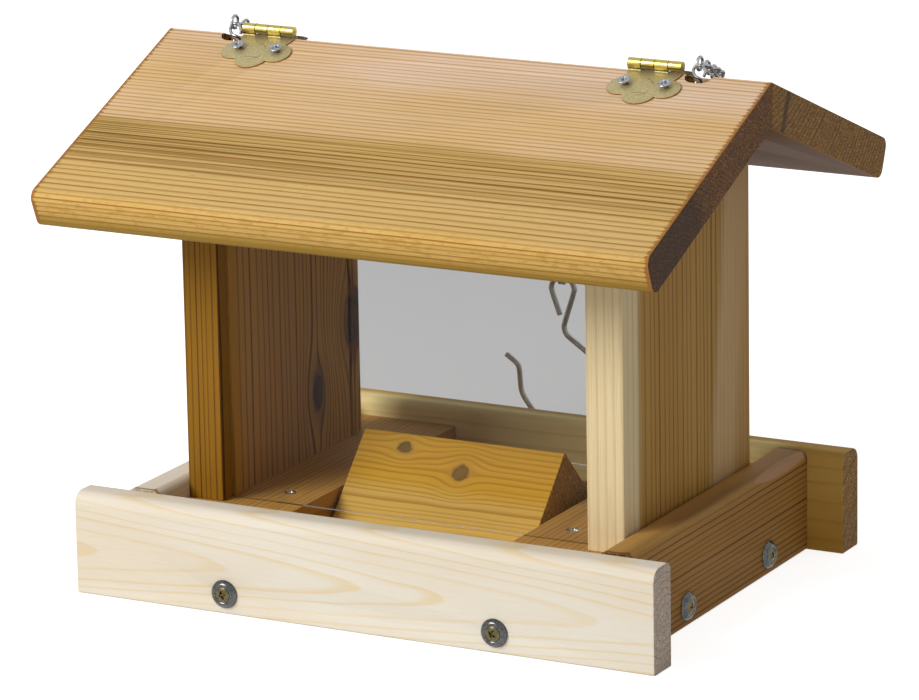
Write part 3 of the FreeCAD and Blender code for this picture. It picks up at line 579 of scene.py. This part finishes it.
BOARDS = {
    "front_roof_lid": (roof_axes(-1), {
        **ROOF, "pith": (235.0, -140.0), "line_rise": (70.0, 95.0, 0.66), "late": (164, 110, 40),
        "line_width": 0.55, "spacing": 2.5,
        "bands": (band("v", 34.0, 100.0, 14.0, (222, 184, 122), 0.75, streaks=0.4),
                  band("v", 84.0, 250.0, 6.0, (211, 176, 103), 0.85),
                  band("v", 84.0, 124.0, 8.0, (146, 114, 50), 0.9, streaks=0.75, fade=(-175.0, 40.0, 0.6)),
                  band("v", 156.0, 250.0, 4.0, (214, 170, 84), 0.75, streaks=0.3)),
        # Darker band on the underside and the lowest part of the eave's edge is painted shade
        "over": (band("w", -40.0, -14.0, 4.0, (148, 116, 40), 0.85),),
        "flecks": ({"low": 118.0, "high": 152.0, "length": 9.0, "width": 1.3, "start": 0.6,
                    "colour": (146, 102, 40), "strength": 0.5},
                   {"low": 158.0, "high": 250.0, "length": 6.0, "width": 2.2, "start": 0.5,
                    "colour": (160, 114, 38), "strength": 0.5}),
        "end_bands": (band("v", 96.0, 250.0, 10.0, (152, 142, 118), 0.9),),
    }),
    "back_roof_board": (roof_axes(1), {
        **ROOF, "pith": (-40.0, 60.0), "spacing": 3.4, "sway": 1.6, "end_lines": 0.9,
        "end_light": (200, 150, 74), "end_dark": (104, 70, 24),
        # Dark brown band on the underside and the lowest part of the edges is painted shade
        "bands": (band("w", -60.0, -17.0, 2.0, (98, 60, 12), 0.95),),
        "end_bands": (band("v", 20.0, 25.0, 1.0, (110, 100, 92), 0.8),),
    }),
    "front_rail": (axes(X, Z, (0, -1, 0), (0, FRONT, 0)), {
        **PALE_RAIL, "pith": (25.0, -12.0), "taper": 0.056,
    }),
    "left_side_rail": (axes(Y, Z, (-1, 0, 0), (-SIDE, 0, 0)), {
        **PALE_RAIL, "pith": (-40.0, -30.0), "late": (206, 166, 104), "spacing": 3.6,
        "fringe": (RAIL_END, 5.0, (150, 108, 56), 0.85, RAIL_TOP - 9.0),
    }),
    "back_rail": (axes(X, Z, Y, (0, BACK, 0)), {
        **PALE_RAIL, "early": (221, 180, 96), "other": (209, 162, 70), "late": (172, 122, 44),
        "pith": (-30.0, 40.0), "spacing": 6.5, "line": 0.3,
        "end_light": (206, 164, 104), "end_dark": (130, 94, 52),
        # Pale band on the inner face and the inner side of the top is painted light where the tray shades
        # them; it fades out towards the right end
        "bands": (band("w", -40.0, -12.0, 3.0, (250, 232, 164), 1.0, fade=(SIDE - 24.0, SIDE - 6.0, 0.0)),),
    }),
    "right_side_rail": (axes(Y, Z, X, (SIDE, 0, 0)), {
        **BROWN, "pith": (-90.0, -20.0), "spacing": 3.2, "line": 1.0, "line_width": 0.44,
        "late": (82, 46, 12), "uneven": 0.6,
        "over": (band("v", RAIL_TOP - 4.0, 80.0, 3.0, (190, 148, 84), 0.5),),
        "fringe": (RAIL_END, 5.0, (96, 64, 30), 0.85, RAIL_TOP - 9.0),
        "patch": {"u": 78.0, "half": 36.0, "over": 56.0, "width": 5.0, "colour": (190, 146, 108)},
    }),
    "left_wall": (axes(Z, Y, (-1, 0, 0), (-WALL, 0, FLOOR_TOP)), {
        **BROWN, "early": (192, 144, 62), "other": (180, 134, 66), "late": (104, 62, 14),
        "pith": (-135.0, -200.0), "spacing": 3.2, "line_width": 0.4, "line": 1.0,
        "bands": (band("v", -90.0, -66.5, 0.6, (142, 98, 14), 0.95),),
        "knots": ({"u": 34.0, "v": 28.7, "w": -WALL_THICKNESS, "radius": 5.5, "stretch": 2.0, "push": -5.0,
                   "halo": (104, 76, 48), "heart": (52, 42, 38), "core": (84, 64, 46)},
                  {"u": 66.0, "v": 70.0, "w": -WALL_THICKNESS, "radius": 9.0, "stretch": 1.6, "push": -9.0,
                   "halo": (120, 84, 44), "heart": (66, 50, 40), "core": (96, 70, 44)}),
    }),
    "right_wall": (axes(Z, Y, X, (WALL, 0, FLOOR_TOP)), {
        **BROWN, "early": (186, 144, 72), "other": (177, 133, 62), "late": (112, 68, 12),
        "pith": (-200.0, -180.0), "spacing": 3.9, "line_width": 0.44, "line": 0.9, "uneven": 0.8,
        "line_rise": (-62.0, -44.0, 0.3),
        "bands": (band("v", -90.0, -58.0, 4.0, (234, 213, 168), 0.95),),
        "over": (band("v", 26.0, 56.0, 6.0, (212, 180, 134), 0.7, lean=-0.12),
                 band("v", 56.0, 80.0, 8.0, (196, 158, 104), 0.5)),
    }),
    "seed_ramp": (ramp_axes(), {
        "early": (226, 180, 60), "other": (216, 166, 46), "late": (176, 116, 18),
        "end_light": (224, 196, 118), "end_dark": (170, 140, 76),
        "pith": (70.0, -40.0), "spacing": 3.1, "sway": 1.6, "sway_length": 110.0, "fibre": 0.08,
        "line": 0.7, "line_width": 0.55,
        "bands": (band("v", -90.0, -31.0, 6.0, (222, 184, 100), 0.75, streaks=0.3),
                  band("v", -16.0, 10.0, 5.0, (226, 172, 66), 0.5, streaks=0.4)),
        "knots": ({"u": -36.0, "v": -8.5, "w": 0.0, "radius": 3.6, "stretch": 1.3, "push": 3.5,
                   "halo": (206, 160, 70), "heart": (88, 74, 42), "core": (140, 112, 60)},
                  {"u": 1.5, "v": -19.5, "w": 0.0, "radius": 5.2, "stretch": 0.95, "push": 5.0,
                   "halo": (204, 154, 62), "heart": (104, 80, 40), "core": (152, 118, 62)}),
    }),
}
FLOOR_WOOD = {**BROWN, "early": (204, 156, 80), "other": (188, 140, 66), "line": 0.5}
for floor_side, floor_name in ((-1, "left_floor_board"), (1, "right_floor_board")):
    floor_spot = axes(Y, X, Z, (floor_side * WALL, 0, FLOOR_TOP))
    BOARDS[floor_name] = (floor_spot, {**FLOOR_WOOD, "pith": (floor_side * 150.0, -60.0)})
for bottom_side, bottom_name in ((-1, "front_bottom_board"), (1, "back_bottom_board")):
    bottom_spot = axes(X, Y, (0, 0, -1), (0, bottom_side * 50.0, 0))
    BOARDS[bottom_name] = (bottom_spot, {**BROWN, "pith": (20.0, -70.0), "taper": 0.03, "sway": 2.0})


def metal_material(name):
    """Plated metal with dull patches and fine grit."""
    colour, dull, roughness, speckle, metallic = METALS[name]
    g = Graph(name)
    place = g.place()
    stains = g.noise(place, detail=3.0, roughness=0.6)
    finer = g.node("ShaderNodeVectorMath", {0: place, "Scale": speckle}, operation="SCALE").outputs[0]
    grit = g.noise(finer)
    shade = g.mix(srgb(colour), srgb(dull), g.rise(stains, *STAIN_EDGES))
    plain = roughness - (GRIT_ROUGHNESS + STAIN_ROUGHNESS) / 2
    rough = g.total(g.times(grit, GRIT_ROUGHNESS), g.times(stains, STAIN_ROUGHNESS), plain)
    return g.shade({"Base Color": shade, "Metallic": metallic, "Roughness": rough,
                    "Normal": g.bump(grit, *GRIT_BUMP)})


def pane_material(name):
    """Clear sheet with a cast, faint smears and paler cut edges."""
    g = Graph(name)
    place = g.place()
    along, up = SMEAR_PACE
    smears = g.noise(g.vector(g.dot(place, (along, 0, 0)), 0.0, g.dot(place, (0, 0, up))), detail=3.0)
    rim = g.rise(g.facing(Y), *PANE_RIM_EDGES)
    rough = g.total(g.times(smears, SMEAR_ROUGHNESS), PANE_ROUGHNESS)
    shade = g.mix(g.mix(srgb(PANE_GREY), srgb(PANE_PALE), smears), srgb(PANE_EDGE), rim)
    alpha = g.total(PANE_ALPHA, g.times(rim, PANE_EDGE_ALPHA - PANE_ALPHA))
    return g.shade({"Base Color": shade, "Roughness": rough, "Specular IOR Level": PANE_SHINE,
                    "Alpha": alpha})


def stroke_mask(g, x, down, stroke):
    """Thin curved line stamped in a hinge leaf."""
    far = g.length(g.minus(x, stroke["x"]), g.minus(down, stroke["down"]))
    off = g.math("ABSOLUTE", g.minus(far, stroke["radius"]))
    return g.times(g.mark(off, *STROKE_MARK), g.window(x, stroke["low"], stroke["high"], STROKE_SOFT))


def brass_material(name, side):
    """Satin leaf with stamped strokes, turning bright on the rolled barrel, with painted shade at the
    barrel's foot.
    """
    g = Graph(name)
    place = g.place()
    spot = roof_axes(side)
    down = g.total(g.dot(place, spot["across"]), RIDGE * math.sin(ROOF_SLOPE))
    out = g.total(g.dot(place, spot["depth"]), -RIDGE * math.cos(ROOF_SLOPE))
    x = g.dot(place, spot["grain"])
    left, right = [middle / MM for middle in HINGE_MIDDLES]
    local = g.minus(x, g.total(left, g.times(g.rise(x, -1.0, 1.0), right - left)))
    barrel = g.rise(out, *BARREL_EDGES)
    stains = g.noise(place, detail=3.0, roughness=0.6)
    brushed = g.noise(g.vector(g.times(x, BRUSH_ALONG), g.times(down, BRUSH_DOWN), out))
    leaf = g.mix(srgb(LEAF_BRASS), srgb(LEAF_DULL), g.rise(stains, *LEAF_STAIN_EDGES))
    leaf = g.mix(leaf, srgb(LEAF_RIM), g.mark(out, *RIM_MARK))
    for stroke in LEAF_STROKES:
        leaf = g.mix(leaf, srgb(LEAF_MARK), stroke_mask(g, local, down, stroke))
    # Painted shade on the barrel's lower part, brass above it
    rolled = g.mix(srgb(BARREL_SHADE), srgb(BARREL_BRASS), g.rise(out, *BARREL_SHADE_EDGES))
    rough = g.total(g.times(brushed, BRUSH_ROUGHNESS), g.times(barrel, -BARREL_POLISH), LEAF_ROUGHNESS)
    return g.shade({"Base Color": g.mix(leaf, rolled, barrel), "Metallic": g.least(barrel, LEAF_METALLIC),
                    "Roughness": rough, "Normal": g.bump(brushed, *BRUSH_BUMP)})


# Wire pieces: the middle line is read from the rings of the model's flat-sided tubes
def welded(node):
    """Copy of a model node's mesh with its doubled vertices joined."""
    mesh = bmesh.new()
    mesh.from_mesh(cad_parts[node].data)
    bmesh.ops.remove_doubles(mesh, verts=mesh.verts, dist=WELD * MM)
    mesh.verts.ensure_lookup_table()
    return mesh


def layers_from(first):
    """Layers of vertices outward from the first ones, one edge at a time."""
    seen = set(first)
    layers = [list(first)]
    while layers[-1]:
        following = []
        for vert in layers[-1]:
            for edge in vert.link_edges:
                other = edge.other_vert(vert)
                if other not in seen:
                    seen.add(other)
                    following.append(other)
        layers.append(following)
    return layers[:-1]


def solids_of(mesh):
    """Vertices of each separate solid, in the mesh's order."""
    seen = set()
    groups = []
    for vert in mesh.verts:
        if vert not in seen:
            group = [other for layer in layers_from([vert]) for other in layer]
            seen.update(group)
            groups.append(group)
    return groups


def middle_of(verts):
    return sum((vert.co for vert in verts), Vector()) / len(verts)


def wire_paths(node, wire):
    """Middle line of each wire in a node, from one cut end to the other."""
    mesh = welded(node)
    paths = []
    for group in solids_of(mesh):
        tip = layers_from(group[:1])[-1][0]
        near = [vert for layer in layers_from([tip])[:TIP_LAYERS] for vert in layer]
        end = [vert for vert in near if (vert.co - tip.co).length < TIP_REACH * wire * MM]
        paths.append([middle_of(layer) for layer in layers_from(end)])
    mesh.free()
    return paths


def smooth_path(points):
    """Curve through the points."""
    padded = [2 * points[0] - points[1], *points, 2 * points[-1] - points[-2]]
    path = []
    for a, b, c, d in zip(padded, padded[1:], padded[2:], padded[3:]):
        for index in range(WIRE_STEPS):
            t = index / WIRE_STEPS
            path.append(0.5 * (2 * b + (c - a) * t + (2 * a - 5 * b + 4 * c - d) * t ** 2
                               + (3 * b - a - 3 * c + d) * t ** 3))
    return path + [points[-1]]


def circle_points(sides):
    """Points round a circle of radius 1."""
    turns = [2 * math.pi * index / sides for index in range(sides)]
    return [(math.cos(turn), math.sin(turn)) for turn in turns]


def wire_ring(mesh, centre, across, other, radius):
    ways = [x * across + y * other for x, y in circle_points(WIRE_SIDES)]
    return [mesh.verts.new(centre + radius * way) for way in ways]


def place_ring(mesh, matrix, spots):
    """Vertices at places in millimetres, moved by a matrix."""
    return [mesh.verts.new(matrix @ (Vector(spot) * MM)) for spot in spots]


def join_rings(mesh, rings):
    """Faces between each ring and the next."""
    for lower, upper in zip(rings, rings[1:]):
        for index in range(len(lower)):
            mesh.faces.new((lower[index - 1], lower[index], upper[index], upper[index - 1]))


def close_tube(mesh, rings):
    """Faces between the rings and a cap on both ends."""
    join_rings(mesh, rings)
    mesh.faces.new(list(reversed(rings[0])))
    mesh.faces.new(rings[-1])


def add_wire(mesh, path, radius):
    """Round wire along a path, with eased cut ends."""
    across = (path[1] - path[0]).normalized().orthogonal().normalized()
    last = len(path) - 1
    rings = []
    for index, point in enumerate(path):
        along = (path[min(index + 1, last)] - path[max(index - 1, 0)]).normalized()
        across = (across - along * across.dot(along)).normalized()
        other = along.cross(across)
        size = radius * (WIRE_END if index in (0, last) else 1.0)
        rings.append(wire_ring(mesh, point, across, other, size))
        if index == 0:
            rings.append(wire_ring(mesh, point + along * WIRE_EASE * radius, across, other, radius))
        if index == last - 1:
            edge = path[-1] - (path[-1] - point).normalized() * WIRE_EASE * radius
            rings.append(wire_ring(mesh, edge, across, other, radius))
    close_tube(mesh, rings)


def finish_piece(name, mesh, material, body, node, crease=PIECE_CREASE):
    """Turn a built mesh into a piece that rides on a body and stands for a model node."""
    bmesh.ops.recalc_face_normals(mesh, faces=mesh.faces)
    data = bpy.data.meshes.new(name)
    mesh.to_mesh(data)
    mesh.free()
    narrow = [face.area < BROAD_FACE * MM ** 2 for face in data.polygons]
    data.polygons.foreach_set("use_smooth", narrow)
    data.set_sharp_from_angle(angle=crease)
    data.materials.append(material)
    piece = bpy.data.objects.new(name, data)
    bpy.context.scene.collection.objects.link(piece)
    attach(piece, body)
    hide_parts(node)


def wire_piece(name, node, wire, material, body):
    """Links or hook of one node as smooth round wire."""
    mesh = bmesh.new()
    for path in wire_paths(node, wire):
        add_wire(mesh, smooth_path(path), wire / 2 * MM)
    finish_piece(name, mesh, material, body, node)


# Screws: a turned head with a cross recess, and a threaded shank
def recess_depth(x, y, size, depth):
    """Depth of a cross recess at a place on a head; size is the arm's reach."""
    deepest = 0.0
    for along, aside in ((abs(x), abs(y)), (abs(y), abs(x))):
        wall = max(0.0, min(1.0, (RECESS_HALF * size - aside) / (RECESS_WALL * size) + 0.5))
        tip = max(0.0, min(1.0, (size - along) / (RECESS_TIP * size)))
        deepest = max(deepest, wall * tip * depth * (1 - RECESS_SLOPE * along / size))
    return deepest


def add_head(mesh, matrix, profile, crown, recess):
    """Head from its top down, sunk where the recess is; profile is (radius, height) from the rim."""
    rim_radius, rim_height = profile[0]
    [top] = place_ring(mesh, matrix, [(0, 0, rim_height + crown - recess_depth(0, 0, *recess))])
    rings = []
    for index in range(1, HEAD_RINGS + 1):
        share = index / HEAD_RINGS
        height = rim_height + crown * (1 - share ** 2)
        circle = [(x * share * rim_radius, y * share * rim_radius) for x, y in circle_points(HEAD_SIDES)]
        spots = [(x, y, height - recess_depth(x, y, *recess)) for x, y in circle]
        rings.append(place_ring(mesh, matrix, spots))
    for index in range(HEAD_SIDES):
        mesh.faces.new((top, rings[0][index - 1], rings[0][index]))
    rings += [turned_ring(mesh, matrix, radius, height) for radius, height in profile[1:]]
    join_rings(mesh, rings)
    mesh.faces.new(rings[-1])


def turned_ring(mesh, matrix, radius, height):
    return place_ring(mesh, matrix, [(radius * x, radius * y, height) for x, y in circle_points(HEAD_SIDES)])


def add_shank(mesh, matrix, radius, start, length):
    """Threaded shank with a point; start and length count down from the head's top."""
    steps = int((length - start) / THREAD_PITCH * THREAD_STEPS)
    rings = []
    for step in range(steps + 1):
        height = -start - (length - start) * step / steps
        point = min(1.0, (length + height) / (POINT_LENGTH * radius) + POINT_BLUNT)
        spots = []
        for index, (x, y) in enumerate(circle_points(SHANK_SIDES)):
            wave = abs(((height / THREAD_PITCH - index / SHANK_SIDES) % 1.0) * 2 - 1)
            size = radius * point * (THREAD_ROOT + (1 - THREAD_ROOT) * wave)
            spots.append((size * x, size * y, height))
        rings.append(place_ring(mesh, matrix, spots))
    close_tube(mesh, rings)


def screw_places(node, outward):
    """Matrix at each screw's head top, turned so that Z points out of the wood."""
    mesh = welded(node)
    places = []
    for order, group in enumerate(solids_of(mesh)):
        out = outward(middle_of(group))
        top = max(vert.co.dot(out) for vert in group)
        head = middle_of([vert for vert in group if vert.co.dot(out) > top - HEAD_TOP * MM])
        turn = Matrix.Rotation(DRIVE_TURN * order + DRIVE_START, 4, "Z")
        places.append(Matrix.Translation(head) @ out.to_track_quat("Z", "Y").to_matrix().to_4x4() @ turn)
    mesh.free()
    return places


def screw_piece(name, node, outward, shape, material, body="feeder"):
    """All the screws of one node."""
    mesh = bmesh.new()
    for matrix in screw_places(node, outward):
        add_head(mesh, matrix, shape["profile"], shape["crown"], shape["recess"])
        add_shank(mesh, matrix, shape["shank"], shape["start"], shape["length"])
    finish_piece(name, mesh, material, body, node)


def away_from_middle(middle):
    """Outward across the nearest side of the tray."""
    if SIDE * MM - abs(middle.x) < BACK * MM - abs(middle.y):
        return sideways(middle)
    return Vector((0, math.copysign(1, middle.y), 0))


def upward(middle):
    return Vector(Z)


def downward(middle):
    return Vector((0, 0, -1))


def sideways(middle):
    return Vector((math.copysign(1, middle.x), 0, 0))


def out_of_roof(middle):
    return Vector((0, math.copysign(math.sin(ROOF_SLOPE), middle.y), math.cos(ROOF_SLOPE)))


OVAL_HEAD = {"profile": ((4.1, -0.9), (4.2, -1.1), (2.1, -2.5)), "crown": 0.9, "recess": (2.3, 1.6),
             "shank": 2.1, "start": 2.3, "length": 45.0}
FLAT_HEAD = {"profile": ((3.7, -0.1), (3.8, -0.3), (1.9, -2.6)), "crown": 0.1, "recess": (2.1, 1.5),
             "shank": 1.9, "start": 2.4}
HINGE_HEAD = {"profile": ((3.3, -0.25), (3.5, -0.5), (3.4, -0.75), (1.7, -2.9)), "crown": 0.25,
              "recess": (2.1, 1.4), "shank": 1.7, "start": 2.7, "length": 19.5}
PAN_HEAD = {"profile": ((2.0, -0.2), (2.6, -0.7), (2.8, -1.2), (2.8, -2.2)), "crown": 0.2,
            "recess": (1.6, 1.0), "shank": 1.2, "start": 2.1, "length": 21.0}
FLAT_SCREWS = (("floor", upward, 37.5), ("wall", downward, 75.5), ("ramp", downward, 41.5),
               ("roof", out_of_roof, 43.5))

# Cup washer: (radius, height) round its dished sheet, from the board side
CUP = ((2.3, 0.1), (2.6, 0.75), (4.2, 2.3), (4.9, 2.75), (5.6, 2.7), (6.4, 2.2), (7.1, 1.2), (7.6, 0.65),
       (7.7, 0.3), (7.55, 0.05), (7.1, 0.25), (6.3, 1.3), (5.5, 1.95), (4.9, 2.0), (3.8, 1.3))


def washer_piece(name, material):
    """Dished washers, each as one closed ring."""
    mesh = bmesh.new()
    for matrix in screw_places("rail_screws", away_from_middle):
        board = matrix @ Matrix.Translation(Vector((0, 0, -CUP_SEAT * MM)))
        rings = [turned_ring(mesh, board, radius, height) for radius, height in CUP]
        join_rings(mesh, rings + rings[:1])
    finish_piece(name, mesh, material, "feeder", "cup_washers")


# Boards: the model's own solids with eased edges
def board_piece(node, material):
    """One board, with its sharp edges eased."""
    mesh = welded(node)
    bmesh.ops.dissolve_limit(mesh, angle_limit=FLAT_EDGE, verts=mesh.verts, edges=mesh.edges)
    sharp = [edge for edge in mesh.edges if edge.is_manifold and edge.calc_face_angle() > SHARP_EDGE]
    bmesh.ops.bevel(mesh, geom=sharp, offset=EASE * MM, offset_type="OFFSET", segments=EASE_STEPS,
                    profile=0.5, affect="EDGES", clamp_overlap=False)
    body = "lid" if node == "front_roof_lid" else "feeder"
    finish_piece(node + "_wood", mesh, material, body, node, BOARD_CREASE)


# Hinges: a three-lobed plate with rolled knuckles, in the plate's own plane
def circle_exit(way, lobe):
    """Distance along a ray from the leaf's heart to where it leaves a lobe."""
    to_centre = Vector(lobe[:2]) - LEAF_HEART
    along = to_centre.dot(way)
    aside = to_centre.length_squared - along ** 2
    return along + math.sqrt(lobe[2] ** 2 - aside) if aside < lobe[2] ** 2 else 0.0


def side_exit(way, start, end):
    """Distance along a ray from the leaf's heart to where it crosses a straight side."""
    side = end - start
    turn = way.cross(side)
    if abs(turn) < PARALLEL:
        return 0.0
    offset = start - LEAF_HEART
    reach = offset.cross(side) / turn
    share = offset.cross(way) / turn
    return reach if 0.0 <= share <= 1.0 and reach > 0 else 0.0


def leaf_outline():
    """Each way out from the leaf's heart, with the distance to its rim."""
    corners = [Vector(corner) for corner in LEAF_PLATE]
    outline = []
    for way in map(Vector, circle_points(LEAF_SIDES)):
        exits = [circle_exit(way, lobe) for lobe in LEAF_LOBES]
        exits += [side_exit(way, start, end) for start, end in zip(corners, corners[1:] + corners[:1])]
        outline.append((way, max(exits)))
    return outline


def add_plate(mesh, matrix):
    """Leaf with a rounded rim; each ring is (inset, height)."""
    outline = leaf_outline()
    rings = []
    for inset, height in LEAF_RINGS:
        spots = [LEAF_HEART + way * (reach - inset) for way, reach in outline]
        rings.append(place_ring(mesh, matrix, [(*spot, height) for spot in spots]))
    close_tube(mesh, rings)


def knuckle_profile(inset):
    """Rolled end seen along the pin, with the web that comes up from the plate."""
    centre = Vector((-BARREL_UP * math.tan(ROOF_SLOPE), BARREL_UP))
    front = centre.x + BARREL_RADIUS
    start = -math.acos((LEAF_START - centre.x) / BARREL_RADIUS)
    points = []
    for index in range(KNUCKLE_STEPS + 1):
        turn = start - (2 * math.pi + start) * index / KNUCKLE_STEPS
        points.append(centre + (BARREL_RADIUS - inset) * Vector((math.cos(turn), math.sin(turn))))
    foot = [Vector((front + ahead, height)) for ahead, height in KNUCKLE_FOOT]
    web = Vector((front - inset, KNUCKLE_WEB))
    return [*points, web, *foot, Vector((LEAF_START, foot[-1].y))]


def add_knuckle(mesh, matrix, start, length):
    """One rolled knuckle, with eased ends."""
    eased = ((0, KNUCKLE_EASE), (KNUCKLE_EASE, 0), (length - KNUCKLE_EASE, 0), (length, KNUCKLE_EASE))
    rings = []
    for along, inset in eased:
        spots = [(start + along, *point) for point in knuckle_profile(inset)]
        rings.append(place_ring(mesh, matrix, spots))
    close_tube(mesh, rings)


def leaf_piece(node, side, middle, material, body):
    """One leaf; both are alike, turned half round so that the knuckles interleave."""
    half_turn = Matrix.Rotation(math.pi if side < 0 else 0.0, 4, "Z")
    seat = Matrix.Translation(Vector((middle, 0, RIDGE * MM)))
    matrix = seat @ half_turn @ Matrix.Rotation(-ROOF_SLOPE, 4, "X")
    mesh = bmesh.new()
    add_plate(mesh, matrix)
    length = (BARREL_LENGTH - (KNUCKLES - 1) * KNUCKLE_GAP) / KNUCKLES
    for index in range(1, KNUCKLES, 2):
        add_knuckle(mesh, matrix, index * (length + KNUCKLE_GAP) - BARREL_LENGTH / 2, length)
    finish_piece(node + "_brass", mesh, material, body, node)


def pin_piece(node, material):
    """Hinge pin with domed ends."""
    low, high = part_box(node)
    centre = (low + high) / 2
    matrix = Matrix.Translation(Vector((low.x, centre.y, centre.z))) @ Matrix.Rotation(math.pi / 2, 4, "Y")
    length = (high.x - low.x) / MM
    radius = (high.z - low.z) / 2 / MM
    profile = [(share * radius, along) for share, along in PIN_END]
    profile += [(size, length - along) for size, along in reversed(profile)]
    mesh = bmesh.new()
    close_tube(mesh, [turned_ring(mesh, matrix, size, along) for size, along in profile])
    finish_piece(node + "_brass", mesh, material, "feeder", node)


# Stage
def add_camera():
    """Camera turned to its azimuth, tilted down and rolled."""
    data = bpy.data.cameras.new("camera")
    data.lens = LENS
    data.sensor_width = SENSOR
    data.clip_end = CLIP_END * MM
    camera = bpy.data.objects.new("camera", data)
    tilt = Matrix.Rotation(math.pi / 2 - ELEVATION, 4, "X") @ Matrix.Rotation(ROLL, 4, "Z")
    camera.matrix_world = Matrix.Translation(EYE * MM) @ Matrix.Rotation(AZIMUTH, 4, "Z") @ tilt
    bpy.context.scene.collection.objects.link(camera)
    bpy.context.scene.camera = camera


def seen_rays(g, path):
    """1 for rays that come from the camera, a reflection or a clear piece."""
    seen = path.outputs["Is Camera Ray"]
    for kind in ("Is Glossy Ray", "Is Transmission Ray"):
        seen = g.math("MAXIMUM", seen, path.outputs[kind])
    return seen


def add_world():
    """Even light that looks white to the camera and in reflections."""
    g = Graph("studio", world=True)
    strength = g.least(seen_rays(g, g.node("ShaderNodeLightPath", {})), WORLD_LEVEL)
    background = g.node("ShaderNodeBackground", {"Color": (1, 1, 1, 1), "Strength": strength})
    bpy.context.scene.world = g.show(background)


def add_light():
    """One broad soft lamp at the front left."""
    data = bpy.data.lights.new("key", "AREA")
    data.size = KEY_SIZE * MM
    data.energy = KEY_POWER
    key = bpy.data.objects.new("key", data)
    key.location = KEY_PLACE * MM
    aim = KEY_AIM * MM - key.location
    key.rotation_euler = aim.to_track_quat("-Z", "Y").to_euler()
    bpy.context.scene.collection.objects.link(key)


def add_floor():
    """Pale floor that looks white to the camera, grey through the panes, and keeps the shadow."""
    g = Graph("studio_floor")
    path = g.node("ShaderNodeLightPath", {})
    direct = g.math("LESS_THAN", path.outputs["Transparent Depth"], NO_PANE)
    matt = g.node("ShaderNodeBsdfDiffuse", {"Color": srgb(FLOOR_COLOUR)})
    glow = g.node("ShaderNodeEmission", {"Strength": g.times(seen_rays(g, path), direct, FLOOR_GLOW)})
    material = g.show(g.node("ShaderNodeAddShader", {0: matt.outputs[0], 1: glow.outputs[0]}))
    half = FLOOR_SIZE / 2 * MM
    data = bpy.data.meshes.new("floor")
    corners = [(-half, -half, 0), (half, -half, 0), (half, half, 0), (-half, half, 0)]
    data.from_pydata(corners, [], [(0, 1, 2, 3)])
    data.materials.append(material)
    floor = bpy.data.objects.new("floor", data)
    floor.location.z = -FLOOR_DROP * MM
    bpy.context.scene.collection.objects.link(floor)


for board_name, (board_spot, board_wood) in BOARDS.items():
    board_piece(board_name, wood_material(board_name + "_cedar", board_spot, board_wood))

clear_sheet = pane_material("clear_sheet")
for pane_name in ("front_pane", "back_pane"):
    for pane_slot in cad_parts[pane_name].material_slots:
        pane_slot.material = clear_sheet

lid_brass = brass_material("lid_leaf_brass", -1)
fixed_brass = brass_material("fixed_leaf_brass", 1)
metals = {metal_name: metal_material(metal_name) for metal_name in METALS}
zinc = metals["zinc_plate"]

for hand, middle in zip(("left", "right"), HINGE_MIDDLES):
    leaf_piece(hand + "_hinge_lid_leaf", -1, middle, lid_brass, "lid")
    leaf_piece(hand + "_hinge_fixed_leaf", 1, middle, fixed_brass, "feeder")
    pin_piece(hand + "_hinge_pin", metals["pin_brass"])
    wire_piece(hand + "_anchor_chain", hand + "_anchor_links", LINK_WIRE, zinc, "feeder")
    wire_piece(hand + "_roof_chain", hand + "_chain_on_roof", LINK_WIRE, zinc, "chain_on_roof")
    wire_piece(hand + "_drop_chain", hand + "_chain_drop", LINK_WIRE, zinc, "chain_drop")
wire_piece("wire_hook", "hanging_hook", HOOK_WIRE, metals["hook_wire"], "hook")

screw_piece("rail_oval_screws", "rail_screws", away_from_middle, OVAL_HEAD, metals["yellowed_zinc"])
washer_piece("rail_cup_washers", metals["cup_plate"])
for place, way, length in FLAT_SCREWS:
    shape = {**FLAT_HEAD, "length": length}
    screw_piece(place + "_flat_screws", place + "_screws", way, shape, zinc)
screw_piece("chain_pan_screws", "chain_anchor_screws", sideways, PAN_HEAD, zinc)
screw_piece("lid_leaf_screws", "lid_hinge_screws", out_of_roof, HINGE_HEAD, zinc, "lid")
screw_piece("fixed_leaf_screws", "fixed_hinge_screws", out_of_roof, HINGE_HEAD, zinc)

add_camera()
add_world()
add_light()
add_floor()
bpy.context.scene.view_settings.view_transform = "Standard"
